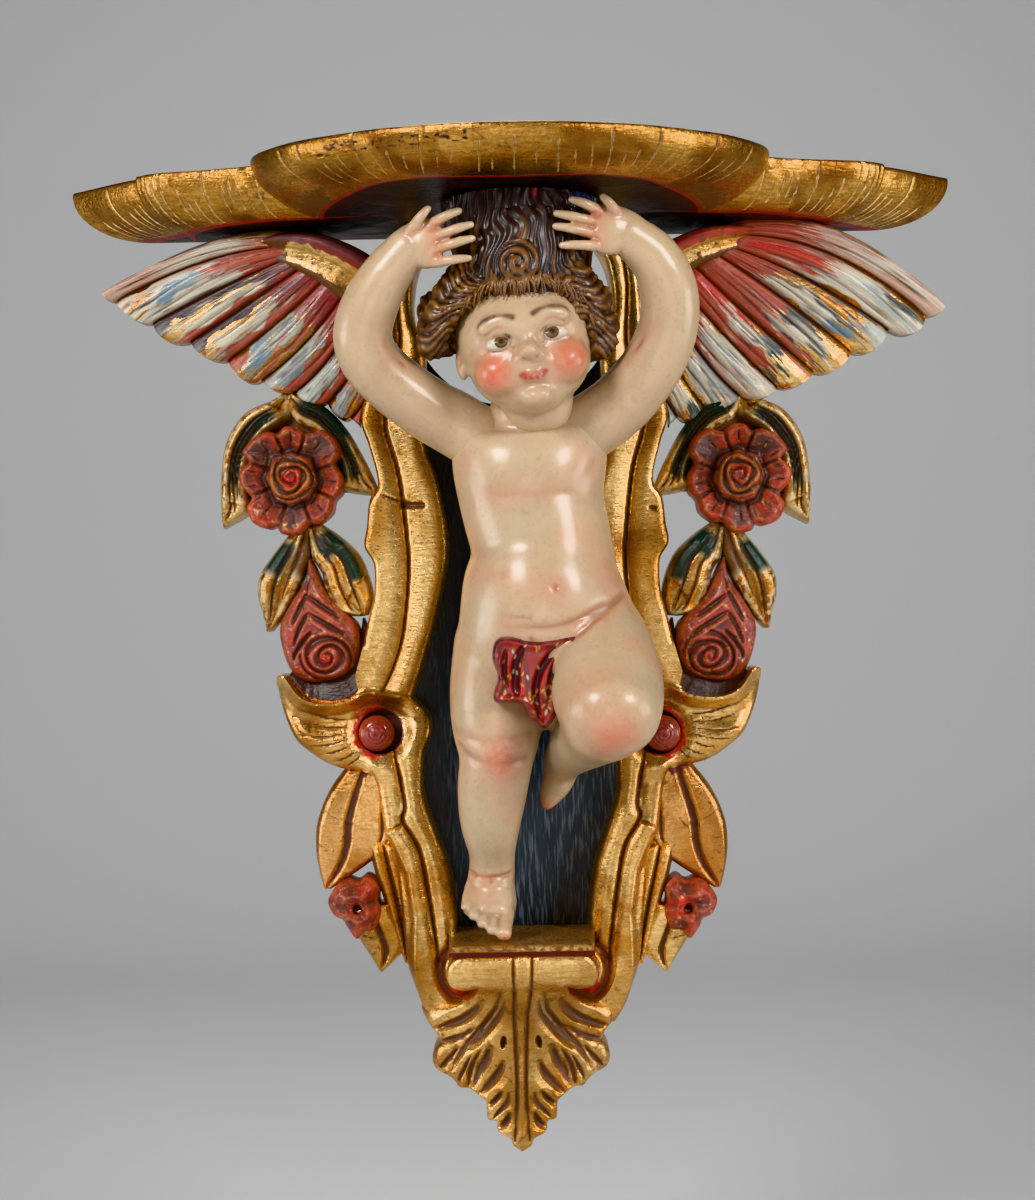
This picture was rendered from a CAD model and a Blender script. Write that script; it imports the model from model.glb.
"""Angel figure corbel of carved, gilded and painted wood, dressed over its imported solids.

Sizes are millimetres, written as (x, depth, z): x to the viewer's right, depth out from the wall and z
up. A finished piece turns them into metres, with the depth along -Y.
"""

import logging
import math
from dataclasses import dataclass
from enum import IntEnum
from typing import Callable, Optional, Sequence

import bmesh
import bpy
import numpy as np
from mathutils import Matrix, Vector


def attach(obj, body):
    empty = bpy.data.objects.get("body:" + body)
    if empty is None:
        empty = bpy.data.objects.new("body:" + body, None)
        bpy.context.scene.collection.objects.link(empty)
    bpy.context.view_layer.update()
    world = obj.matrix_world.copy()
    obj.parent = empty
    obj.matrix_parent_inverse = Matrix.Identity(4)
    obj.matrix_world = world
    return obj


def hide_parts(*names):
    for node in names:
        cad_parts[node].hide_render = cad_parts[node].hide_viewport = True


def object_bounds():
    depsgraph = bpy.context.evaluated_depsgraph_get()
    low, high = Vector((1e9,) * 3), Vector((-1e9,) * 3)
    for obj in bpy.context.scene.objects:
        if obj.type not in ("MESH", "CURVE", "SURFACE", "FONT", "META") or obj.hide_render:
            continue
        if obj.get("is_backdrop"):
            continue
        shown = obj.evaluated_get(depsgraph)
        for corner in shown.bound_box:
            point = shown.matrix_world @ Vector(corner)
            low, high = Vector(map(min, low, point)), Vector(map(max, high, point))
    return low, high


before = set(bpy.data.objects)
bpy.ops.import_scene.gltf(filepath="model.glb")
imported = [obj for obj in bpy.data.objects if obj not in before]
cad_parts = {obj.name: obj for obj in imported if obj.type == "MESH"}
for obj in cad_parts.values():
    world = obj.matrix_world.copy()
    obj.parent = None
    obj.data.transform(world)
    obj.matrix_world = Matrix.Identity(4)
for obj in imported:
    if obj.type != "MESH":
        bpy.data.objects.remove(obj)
CAD_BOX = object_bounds()

LOG = logging.getLogger("corbel")
MM = 0.001
Points = Sequence[Sequence[float]]
Colour = tuple[float, float, float]
FORWARD = (0.0, -1.0, 0.0)
UP = (0.0, 0.0, 1.0)


class Side(IntEnum):
    """Side of the corbel as its viewer sees it, with the sign of x there as its value."""

    LEFT = -1
    MIDDLE = 0
    RIGHT = 1

    @property
    def hand(self) -> str:
        """Word for the side in the names of the pieces."""
        return self.name.lower()

    @property
    def fall(self) -> float:
        """How much lower than on the left the frame is carved."""
        return 2.5 if self is Side.RIGHT else 0.0


BOTH = (Side.LEFT, Side.RIGHT)


# Lines and distances


def ease(value: np.ndarray | float, low: float = 0.0, high: float = 1.0) -> np.ndarray | float:
    """Rises smoothly from 0 at low to 1 at high."""
    t = np.clip((value - low) / (high - low), 0.0, 1.0)
    return t * t * (3.0 - 2.0 * t)


def table(pairs: Points, where: np.ndarray | float) -> np.ndarray | float:
    """Reads a polyline of (position, value) pairs at the given positions."""
    rows = np.array(sorted(pairs), float)
    return np.interp(where, rows[:, 0], rows[:, 1])


def spline(points: Points, step: float = 1.5, closed: bool = False) -> np.ndarray:
    """Draws a smooth line through points.

    Args:
        points: Places of two or more numbers each.
        step: Rough distance between the points of the result.
        closed: Whether the line returns to its start.

    Returns:
        The points of the line.
    """
    knots = np.array(points, float)
    count = len(knots)
    spans = count if closed else count - 1
    line = []
    for i in range(spans):
        if closed:
            a, b, c, d = (knots[(i + k) % count] for k in (-1, 0, 1, 2))
        else:
            a, b, c, d = (knots[min(max(i + k, 0), count - 1)] for k in (-1, 0, 1, 2))
        pieces = max(1, int(np.linalg.norm(c - b) / step))
        for t in np.linspace(0.0, 1.0, pieces, endpoint=False):
            line.append(0.5 * (2 * b + (c - a) * t + (2 * a - 5 * b + 4 * c - d) * t * t
                               + (3 * b - a - 3 * c + d) * t ** 3))
    if not closed:
        line.append(knots[-1])
    return np.array(line)


def distance(places: np.ndarray, line: np.ndarray, closed: bool = False) -> tuple[np.ndarray, np.ndarray]:
    """Measures how far places lie from a line.

    Args:
        places: One place a row.
        line: Points of the line, with as many numbers as a place.
        closed: Whether the line returns to its start.

    Returns:
        The distances, and the share of the line's length at the nearest points.
    """
    ends = np.vstack([line, line[:1]]) if closed else line
    lengths = np.linalg.norm(np.diff(ends, axis=0), axis=1)
    total = max(lengths.sum(), 1e-9)
    best = np.full(len(places), 1e9)
    share = np.zeros(len(places))
    run = 0.0
    for start, end, length in zip(ends[:-1], ends[1:], lengths):
        way = end - start
        t = np.clip((places - start) @ way / max(length * length, 1e-12), 0.0, 1.0)
        gap = ((places - start - t[:, None] * way) ** 2).sum(axis=1)
        nearer = gap < best
        best = np.where(nearer, gap, best)
        share = np.where(nearer, (run + t * length) / total, share)
        run += length
    return np.sqrt(best), share


def enclosed(places: np.ndarray, outline: np.ndarray) -> np.ndarray:
    """Tells which places lie inside a closed outline.

    Args:
        places: Places as (x, z).
        outline: Points of the outline.

    Returns:
        True for each place inside.
    """
    hit = np.zeros(len(places), bool)
    x, z = places[:, 0], places[:, 1]
    for (x0, z0), (x1, z1) in zip(outline, np.roll(outline, -1, axis=0)):
        if z0 != z1:
            hit ^= ((z0 > z) != (z1 > z)) & (x < (x1 - x0) * (z - z0) / (z1 - z0) + x0)
    return hit


def window(value: np.ndarray, low: float, high: float, soft: float, soft_end: float = 0.0) -> np.ndarray:
    """Is 1 between low and high, and fades to 0 over the given softness at each of them."""
    end = soft_end or soft
    return ease(value, low - soft, low + soft) * (1 - ease(value, high - end, high + end))


def mirrored(points: Points, side: Side) -> list[list[float]]:
    """Turns (x, z) places of the frame's left half into those of the given side."""
    return [[-side * p[0], p[1] - side.fall, *p[2:]] for p in points]


def turned(rows: Points, side: Side, fall: float = 0.0) -> list[list[float]]:
    """Turns rows of (x, z, x, z, depth) of the left half into those of the given side."""
    return [[-side * a, b - fall, -side * c, d - fall, depth] for a, b, c, d, depth in rows]


def edges_of(rows: Points, step: float = 1.5) -> np.ndarray:
    """Outline of a carved strip from rows of (edge x, edge z, other x, other z, depth)."""
    near, far = (spline([row[k:k + 2] for row in rows], step) for k in (0, 2))
    return np.vstack([near, far[::-1]])


def lane(rows: Points, share: float, start: float = 0.0, end: float = 1.0) -> np.ndarray:
    """Line along a carved strip at a share of its width, between two shares of its length."""
    line = spline([[a + (c - a) * share, b + (d - b) * share] for a, b, c, d, _ in rows])
    return line[int(start * (len(line) - 1)):int(end * (len(line) - 1)) + 1]


def strip_places(places: np.ndarray, rows: Points) -> tuple[np.ndarray, np.ndarray, np.ndarray]:
    """Finds where places lie on a carved strip.

    Args:
        places: Places as (x, z).
        rows: The strip's rows.

    Returns:
        The share of the width, the share of the length and the row's depth at each place.
    """
    near, here = distance(places, spline([row[:2] for row in rows]))
    far, there = distance(places, spline([row[2:4] for row in rows]))
    along = (here + there) / 2
    fronts = np.interp(along, np.linspace(0, 1, len(rows)), [row[4] for row in rows])
    return near / np.maximum(near + far, 1e-6), along, fronts


def coat(colour: Colour, cover: np.ndarray) -> np.ndarray:
    """Makes a row of colour and cover for each vertex."""
    return np.concatenate([np.tile(colour, (len(cover), 1)), cover[:, None]], axis=1)


def stain(tint: np.ndarray, colour: Colour, share: np.ndarray) -> None:
    """Blends a colour into rows of tint and keeps their cover."""
    tint[:, :3] += (np.array(colour) - tint[:, :3]) * np.clip(share, 0.0, 1.0)[:, None]


def brush(tint: np.ndarray, colour: Colour, share: np.ndarray, cover: float) -> None:
    """Lays a stroke of paint on rows of tint.

    Args:
        tint: Rows of colour and cover, which are changed.
        colour: Colour of the stroke.
        share: How much of the stroke each row gets.
        cover: Cover of the stroke over the gold.
    """
    share = share[:, None]
    tint[:, :3] = np.where(tint[:, 3:] < 0.02, colour, tint[:, :3] * (1 - share) + np.array(colour) * share)
    tint[:, 3:] = tint[:, 3:] * (1 - share) + share * cover


# Finishes


class Tree:
    """Places and links nodes in one node tree."""

    def __init__(self, tree: bpy.types.NodeTree) -> None:
        """Clears the tree."""
        self.tree = tree
        tree.nodes.clear()

    def add(self, kind: str, inputs: Optional[dict] = None, **settings: object) -> bpy.types.Node:
        """Adds a node.

        Args:
            kind: Name of the node's type, without its ShaderNode prefix.
            inputs: Values or sockets by input name or number.
            settings: Properties of the node.

        Returns:
            The new node.
        """
        prefix = "" if kind.startswith("NodeGroup") else "ShaderNode"
        node = self.tree.nodes.new(prefix + kind)
        for name, value in settings.items():
            setattr(node, name, value)
        for key, value in (inputs or {}).items():
            socket = node.inputs[key]
            if isinstance(value, bpy.types.NodeSocket):
                self.tree.links.new(value, socket)
            else:
                socket.default_value = value
        return node

    def link(self, source: bpy.types.NodeSocket, target: bpy.types.NodeSocket) -> None:
        """Joins two sockets."""
        self.tree.links.new(source, target)

    def math(self, operation: str, a: object, b: object) -> bpy.types.NodeSocket:
        """Reckons with two values."""
        return self.add("Math", {0: a, 1: b}, operation=operation).outputs[0]

    def span(self, value: object, low: float, high: float, to_low: float = 0.0,
             to_high: float = 1.0) -> bpy.types.NodeSocket:
        """Maps a value from one range to another, held inside it."""
        return self.add("MapRange", {0: value, 1: low, 2: high, 3: to_low, 4: to_high}).outputs[0]

    def blend(self, share: object, a: object, b: object) -> bpy.types.NodeSocket:
        """Mixes two colours by a share."""
        return self.add("Mix", {0: share, 6: a, 7: b}, data_type="RGBA").outputs[2]

    def mix(self, share: object, a: object, b: object) -> bpy.types.NodeSocket:
        """Mixes two values by a share."""
        return self.add("Mix", {0: share, 2: a, 3: b}, data_type="FLOAT").outputs[0]

    def noise(self, place: object, scale: object, detail: float = 3.0,
              twist: float = 0.0) -> bpy.types.NodeSocket:
        """Adds a cloud of values between 0 and 1."""
        return self.add("TexNoise", {"Vector": place, "Scale": scale, "Detail": detail,
                                     "Distortion": twist}).outputs[0]


def rgba(colour: Colour) -> tuple[float, float, float, float]:
    """Adds full opacity to a colour."""
    return (*colour, 1.0)


def node_group(name: str, inputs: dict[str, object], outputs: dict[str, str],
               build: Callable[[Tree, dict, bpy.types.Node], None]) -> bpy.types.NodeTree:
    """Makes a shader node group once and returns it.

    Args:
        name: Name of the group.
        inputs: Default values by name; a number, a colour or the word vector.
        outputs: Kinds of socket by name.
        build: Fills the group from its tree, its inputs and its output node.

    Returns:
        The group's node tree.
    """
    if name in bpy.data.node_groups:
        return bpy.data.node_groups[name]
    tree = bpy.data.node_groups.new(name, "ShaderNodeTree")
    for key, value in inputs.items():
        if value == "vector":
            tree.interface.new_socket(name=key, in_out="INPUT", socket_type="NodeSocketVector")
            continue
        kind = "NodeSocketColor" if isinstance(value, tuple) else "NodeSocketFloat"
        socket = tree.interface.new_socket(name=key, in_out="INPUT", socket_type=kind)
        socket.default_value = rgba(value) if isinstance(value, tuple) else value
    for key, kind in outputs.items():
        tree.interface.new_socket(name=key, in_out="OUTPUT", socket_type=f"NodeSocket{kind}")
    nodes = Tree(tree)
    into, out = nodes.add("NodeGroupInput"), nodes.add("NodeGroupOutput")
    build(nodes, {socket.name: socket for socket in into.outputs}, out)
    return tree


def leaf_metal(nodes: Tree, into: dict, out: bpy.types.Node) -> None:
    """Gold leaf: clouded and grained, with fine laid lines, brown pits and patina in its hollows.

    Args:
        nodes: Tree of the group.
        into: The group's inputs by name.
        out: The group's output node.
    """
    place = into["Place"]
    cloud = nodes.noise(place, 23.0, 6.0, 0.7)
    grain = nodes.noise(place, 640.0, 5.0, 0.2)
    fleck = nodes.noise(place, 150.0, 6.0, 0.8)
    laid = nodes.noise(nodes.add("Mapping", {"Vector": place, "Scale": (1.0, 1.0, 8.0)}).outputs[0],
                       140.0, 4.0, 0.4)
    pits = nodes.add("TexVoronoi", {"Vector": place, "Scale": into["Pits"]}).outputs[0]
    pits = nodes.math("MULTIPLY", nodes.span(pits, 0.03, 0.13, 0.7, 0.0), nodes.span(fleck, 0.62, 0.7))
    old = nodes.noise(place, 19.0, 7.0, 0.9)
    hollow = nodes.span(into["Cavity"], -0.1, -0.8)
    wear = nodes.math("MULTIPLY", nodes.span(fleck, 0.61, 0.68), into["Wear"])
    colour = nodes.blend(nodes.span(cloud, 0.42, 0.62), into["Bright"], into["Deep"])
    colour = nodes.blend(nodes.span(grain, 0.42, 0.66, 0.0, 0.4), colour, into["Deep"])
    colour = nodes.blend(nodes.span(laid, 0.45, 0.62, 0.0, 0.45), colour, into["Deep"])
    colour = nodes.blend(nodes.span(old, 0.49, 0.62, 0.0, 0.42), colour, into["Patina"])
    dirt = nodes.math("MAXIMUM", hollow, nodes.math("MAXIMUM", wear, pits))
    dirt = nodes.math("MULTIPLY", dirt, nodes.span(grain, 0.3, 0.5, 0.55, 1.0))
    nodes.link(nodes.blend(dirt, colour, into["Patina"]), out.inputs["Colour"])
    rough = nodes.span(grain, 0.35, 0.65, 0.24, 0.4)
    nodes.link(nodes.math("ADD", rough, nodes.math("MULTIPLY", dirt, 0.3)), out.inputs["Roughness"])
    relief = nodes.math("ADD", nodes.math("MULTIPLY", fleck, 0.8), nodes.math("MULTIPLY", grain, 0.5))
    relief = nodes.math("ADD", relief, nodes.math("MULTIPLY", laid, 0.5))
    nodes.link(nodes.math("SUBTRACT", relief, nodes.math("MULTIPLY", pits, 0.4)), out.inputs["Height"])


def brushed_paint(nodes: Tree, into: dict, out: bpy.types.Node) -> None:
    """Old brushed paint: uneven tone, dark hollows and specks, and lighter rubbed heights.

    Args:
        nodes: Tree of the group.
        into: The group's inputs by name.
        out: The group's output node.
    """
    place = into["Place"]
    cloud = nodes.noise(place, 60.0, 5.0, 0.4)
    fine = nodes.noise(place, 230.0, 6.0, 0.6)
    speck = nodes.noise(place, 560.0, 4.0)
    shade = nodes.blend(nodes.math("MULTIPLY", nodes.span(cloud, 0.36, 0.66), into["Mottle"]),
                        into["Tint"], into["Grime"])
    rubbed = nodes.math("MULTIPLY", nodes.span(into["Cavity"], 0.0, 0.5), nodes.span(fine, 0.36, 0.58))
    shade = nodes.blend(nodes.math("MULTIPLY", rubbed, into["Rub"]), shade, into["Worn"])
    hollow = nodes.math("MULTIPLY", nodes.span(into["Cavity"], -0.05, -0.7), into["Depth"])
    colour = nodes.blend(hollow, shade, into["Grime"])
    specks = nodes.math("MULTIPLY", nodes.span(speck, 0.62, 0.69), into["Mottle"])
    dust = nodes.math("MULTIPLY", nodes.span(fine, 0.56, 0.68), into["Mottle"])
    nodes.link(nodes.blend(nodes.math("MAXIMUM", specks, dust), colour, into["Grime"]), out.inputs["Colour"])
    nodes.link(nodes.span(cloud, 0.3, 0.7, 0.3, 0.46), out.inputs["Roughness"])
    nodes.link(nodes.math("ADD", nodes.math("MULTIPLY", fine, 0.7), nodes.math("MULTIPLY", speck, 0.3)),
               out.inputs["Height"])


GOLD_INPUTS = {"Place": "vector", "Cavity": 0.0, "Bright": (0.9, 0.6, 0.2), "Deep": (0.5, 0.26, 0.05),
               "Patina": (0.08, 0.03, 0.015), "Pits": 300.0, "Wear": 0.5}
PAINT_INPUTS = {"Place": "vector", "Cavity": 0.0, "Tint": (0.8, 0.8, 0.8), "Grime": (0.1, 0.05, 0.03),
                "Worn": (0.8, 0.7, 0.6), "Mottle": 0.3, "Depth": 0.8, "Rub": 0.0}
LAYER_OUTPUTS = {"Colour": "Color", "Roughness": "Float", "Height": "Float"}


@dataclass(frozen=True)
class Finish:
    """A finish of gold leaf, of paint, or of paint over gold leaf where the tint's alpha asks for it."""

    name: str
    slot: str
    bright: Colour = (1.0, 0.68, 0.29)
    deep: Colour = (0.54, 0.255, 0.068)
    patina: Colour = (0.13, 0.045, 0.018)
    pits: float = 330.0
    wear: float = 0.5
    grime: Colour = (0.09, 0.04, 0.03)
    worn: Colour = (0.8, 0.7, 0.6)
    mottle: float = 0.25
    depth: float = 0.8
    rub: float = 0.0
    chips: float = 0.0
    gilded: bool = True
    painted: bool = True
    streaks: float = 0.0
    bump: float = 0.3
    coat: float = 0.0
    coat_roughness: float = 0.12

    def material(self) -> bpy.types.Material:
        """Makes the finish's material at its first use.

        Returns:
            The material.
        """
        if self.name in bpy.data.materials:
            return bpy.data.materials[self.name]
        made = bpy.data.materials.new(self.name)
        made.use_nodes = True
        nodes = Tree(made.node_tree)
        place = nodes.add("TexCoord").outputs["Object"]
        cavity = nodes.add("Attribute", attribute_name="cavity").outputs["Fac"]
        tint = nodes.add("Attribute", attribute_name="tint")
        shader = nodes.add("BsdfPrincipled", {"Coat Weight": self.coat, "Specular IOR Level": 0.35,
                                              "Coat Roughness": self.coat_roughness})
        gold = paint = None
        if self.gilded:
            group = node_group("leaf_metal", GOLD_INPUTS, LAYER_OUTPUTS, leaf_metal)
            gold = nodes.add("Group", {"Bright": rgba(self.bright), "Deep": rgba(self.deep),
                                       "Wear": self.wear,
                                       "Patina": rgba(self.patina), "Pits": self.pits, "Place": place,
                                       "Cavity": cavity}, node_tree=group)
        if self.painted:
            brushed = place
            if self.streaks:
                strokes = nodes.add("UVMap", uv_map="strokes").outputs[0]
                brushed = nodes.add("Mapping", {"Vector": strokes, "Scale": (0.02, 0.0028, 1.0)}).outputs[0]
            group = node_group("brushed_paint", PAINT_INPUTS, LAYER_OUTPUTS, brushed_paint)
            paint = nodes.add("Group", {"Place": brushed, "Cavity": cavity, "Tint": tint.outputs["Color"],
                                        "Grime": rgba(self.grime), "Worn": rgba(self.worn), "Rub": self.rub,
                                        "Mottle": self.mottle, "Depth": self.depth}, node_tree=group)
        layer = gold or paint
        colour, rough, height = (layer.outputs[k] for k in ("Colour", "Roughness", "Height"))
        if gold and paint:
            cover = self.cover(nodes, place, tint.outputs["Alpha"])
            colour = nodes.blend(cover, gold.outputs["Colour"], paint.outputs["Colour"])
            rough = nodes.mix(cover, gold.outputs["Roughness"], paint.outputs["Roughness"])
            nodes.link(nodes.math("SUBTRACT", 1.0, cover), shader.inputs["Metallic"])
        elif gold:
            shader.inputs["Metallic"].default_value = 1.0
        nodes.link(colour, shader.inputs["Base Color"])
        nodes.link(rough, shader.inputs["Roughness"])
        bump = nodes.add("Bump", {"Strength": self.bump, "Distance": 0.0012, "Height": height})
        nodes.link(bump.outputs[0], shader.inputs["Normal"])
        out = nodes.add("OutputMaterial")
        nodes.link(shader.outputs[0], out.inputs[0])
        return made

    def cover(self, nodes: Tree, place: bpy.types.NodeSocket, alpha: bpy.types.NodeSocket
              ) -> bpy.types.NodeSocket:
        """Breaks the edge of the paint into brush marks.

        Args:
            nodes: Tree of the material.
            place: Object coordinates.
            alpha: How much paint covers the gold.

        Returns:
            The share of paint.
        """
        if self.streaks:
            strokes = nodes.add("UVMap", uv_map="strokes").outputs[0]
            place = nodes.add("Mapping", {"Vector": strokes, "Scale": (1.0, 0.16, 1.0)}).outputs[0]
            cloud = nodes.noise(place, self.streaks, 6.0)
        else:
            cloud = nodes.noise(place, 330.0, 7.0, 0.3)
        shifted = nodes.math("ADD", alpha, nodes.span(cloud, 0.25, 0.75, -0.5, 0.5))
        edge = nodes.span(shifted, 0.34, 0.66)
        full = nodes.span(alpha, 0.92, 1.0)
        bare = nodes.span(alpha, 0.0, 0.08)
        share = nodes.math("MULTIPLY", nodes.math("MAXIMUM", edge, full), bare)
        chips = nodes.span(cloud, 0.66, 0.6, 1.0 - self.chips, 1.0)
        return nodes.math("MULTIPLY", share, chips) if self.chips else share


# Carving


FULL_HOLLOW = 0.45
LEAST_RISE = 1.0
BARE_EDGE = 2.5


def grid(bm: bmesh.types.BMesh, across: int, along: int) -> tuple[list, np.ndarray, np.ndarray]:
    """Lays a flat grid into a mesh.

    Args:
        bm: Mesh that gets the grid.
        across: Number of cells one way.
        along: Number of cells the other way.

    Returns:
        The vertices, and the share across and along of each.
    """
    verts = bmesh.ops.create_grid(bm, x_segments=across, y_segments=along, size=0.5)["verts"]
    flat = np.array([v.co[:2] for v in verts]) + 0.5
    return verts, flat[:, 0], flat[:, 1]


def put(verts: Sequence[bmesh.types.BMVert], x: np.ndarray, depth: np.ndarray, z: np.ndarray) -> None:
    """Moves vertices to places given in millimetres."""
    for vert, a, b, c in zip(verts, x, depth, z):
        vert.co = (a, -b, c)


def rim_of(bm: bmesh.types.BMesh) -> list[bmesh.types.BMEdge]:
    """Lists the open edges of a mesh."""
    return [edge for edge in bm.edges if edge.is_boundary]


def draw_out(bm: bmesh.types.BMesh, edges: list) -> tuple[list, list]:
    """Extrudes open edges.

    Args:
        bm: Mesh that they belong to.
        edges: The edges.

    Returns:
        The new vertices and the new open edges.
    """
    geom = bmesh.ops.extrude_edge_only(bm, edges=edges)["geom"]
    return ([g for g in geom if isinstance(g, bmesh.types.BMVert)],
            [g for g in geom if isinstance(g, bmesh.types.BMEdge) and g.is_boundary])


def cavity_of(co: np.ndarray, normals: np.ndarray, edges: np.ndarray, rounds: int) -> np.ndarray:
    """Measures how hollow or proud each vertex is against its surroundings.

    Args:
        co: Places of the vertices.
        normals: Their normals.
        edges: Their edges.
        rounds: How many edges away the surroundings reach.

    Returns:
        Values from -1 in a hollow to 1 on a height.
    """
    a, b = edges[:, 0], edges[:, 1]
    degree = np.maximum(np.bincount(np.concatenate([a, b]), minlength=len(co)), 1)
    soft = co.copy()
    for _ in range(rounds):
        total = np.stack([np.bincount(a, soft[b, k], len(co)) + np.bincount(b, soft[a, k], len(co))
                          for k in range(3)], axis=1)
        soft = total / degree[:, None]
    return np.clip(((co - soft) * normals).sum(axis=1) / FULL_HOLLOW, -1.0, 1.0)


def arrays_of(mesh: bpy.types.Mesh) -> tuple[np.ndarray, np.ndarray, np.ndarray]:
    """Reads a mesh.

    Args:
        mesh: The mesh.

    Returns:
        The vertices' places and normals, and the edges.
    """
    co = np.empty(len(mesh.vertices) * 3)
    mesh.vertices.foreach_get("co", co)
    normals = np.empty(len(mesh.vertices) * 3)
    mesh.vertices.foreach_get("normal", normals)
    edges = np.empty(len(mesh.edges) * 2, int)
    mesh.edges.foreach_get("vertices", edges)
    return co.reshape(-1, 3), normals.reshape(-1, 3), edges.reshape(-1, 2)


def dress(mesh: bpy.types.Mesh, name: str, finish: Finish, nodes: Sequence[str],
          tint: Optional[np.ndarray] = None, strokes: Optional[np.ndarray] = None,
          sharp: float = 48.0, rounds: int = 5) -> bpy.types.Object:
    """Turns a mesh in millimetres into a finished piece of the corbel.

    Args:
        mesh: Mesh in millimetres.
        name: Name of the piece.
        finish: Its finish.
        nodes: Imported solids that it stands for.
        tint: Colour and cover of the paint for each vertex.
        strokes: Place along the brush strokes for each vertex.
        sharp: Angle in degrees above which an edge stays sharp.
        rounds: Reach of the hollows' shading, in edges.

    Returns:
        The piece.
    """
    co, normals, edges = arrays_of(mesh)
    mesh.attributes.new("cavity", "FLOAT", "POINT").data.foreach_set(
        "value", cavity_of(co, normals, edges, rounds).astype(np.float32))
    if tint is not None:
        mesh.attributes.new("tint", "FLOAT_COLOR", "POINT").data.foreach_set(
            "color", np.clip(tint, 0.0, 1.0).astype(np.float32).ravel())
    if strokes is not None:
        corners = np.empty(len(mesh.loops), int)
        mesh.loops.foreach_get("vertex_index", corners)
        mesh.uv_layers.new(name="strokes").data.foreach_set("uv", strokes[corners].astype(np.float32).ravel())
    mesh.vertices.foreach_set("co", (co * MM).astype(np.float32).ravel())
    mesh.shade_smooth()
    mesh.set_sharp_from_angle(angle=math.radians(sharp))
    mesh.update()
    piece = bpy.data.objects.new(name, mesh)
    bpy.context.scene.collection.objects.link(piece)
    mesh.materials.append(finish.material())
    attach(piece, "root")
    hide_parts(*nodes)
    LOG.info("%s: %d faces", name, len(mesh.polygons))
    return piece


def settle(bm: bmesh.types.BMesh, name: str) -> bpy.types.Mesh:
    """Merges doubled vertices and turns the faces outwards.

    Args:
        bm: The work in hand, which is freed.
        name: Name of the mesh.

    Returns:
        The mesh.
    """
    bmesh.ops.remove_doubles(bm, verts=bm.verts, dist=0.002)
    bmesh.ops.recalc_face_normals(bm, faces=bm.faces)
    mesh = bpy.data.meshes.new(name)
    bm.to_mesh(mesh)
    bm.free()
    return mesh


def taken(mesh: bpy.types.Mesh, name: str, kind: str, width: int) -> np.ndarray:
    """Reads a layer off a mesh and removes it.

    Args:
        mesh: The mesh.
        name: Name of the layer.
        kind: Name of its value, color or vector.
        width: How many numbers a vertex has.

    Returns:
        One row a vertex.
    """
    values = np.empty(len(mesh.vertices) * width, np.float32)
    mesh.attributes[name].data.foreach_get(kind, values)
    mesh.attributes.remove(mesh.attributes[name])
    return values.reshape(-1, width)


@dataclass
class Cut:
    """A gouge cut along a line, or a raised rib where the depth is negative."""

    line: np.ndarray
    width: float
    depth: float
    tint: Optional[Colour] = None
    taper: float = 0.35

    def share(self, places: np.ndarray) -> np.ndarray:
        """Tells how deep the cut is.

        Args:
            places: Places as (x, z).

        Returns:
            Values from 0 outside to 1 in the middle of the cut.
        """
        gap, along = distance(places, self.line)
        ends = np.sin(math.pi * np.clip(along, 0.001, 0.999)) ** self.taper if self.taper else 1.0
        reach = self.width * (0.2 + 0.8 * ends)
        return np.clip(1.0 - (gap / reach) ** 2, 0.0, 1.0) * ends


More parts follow.
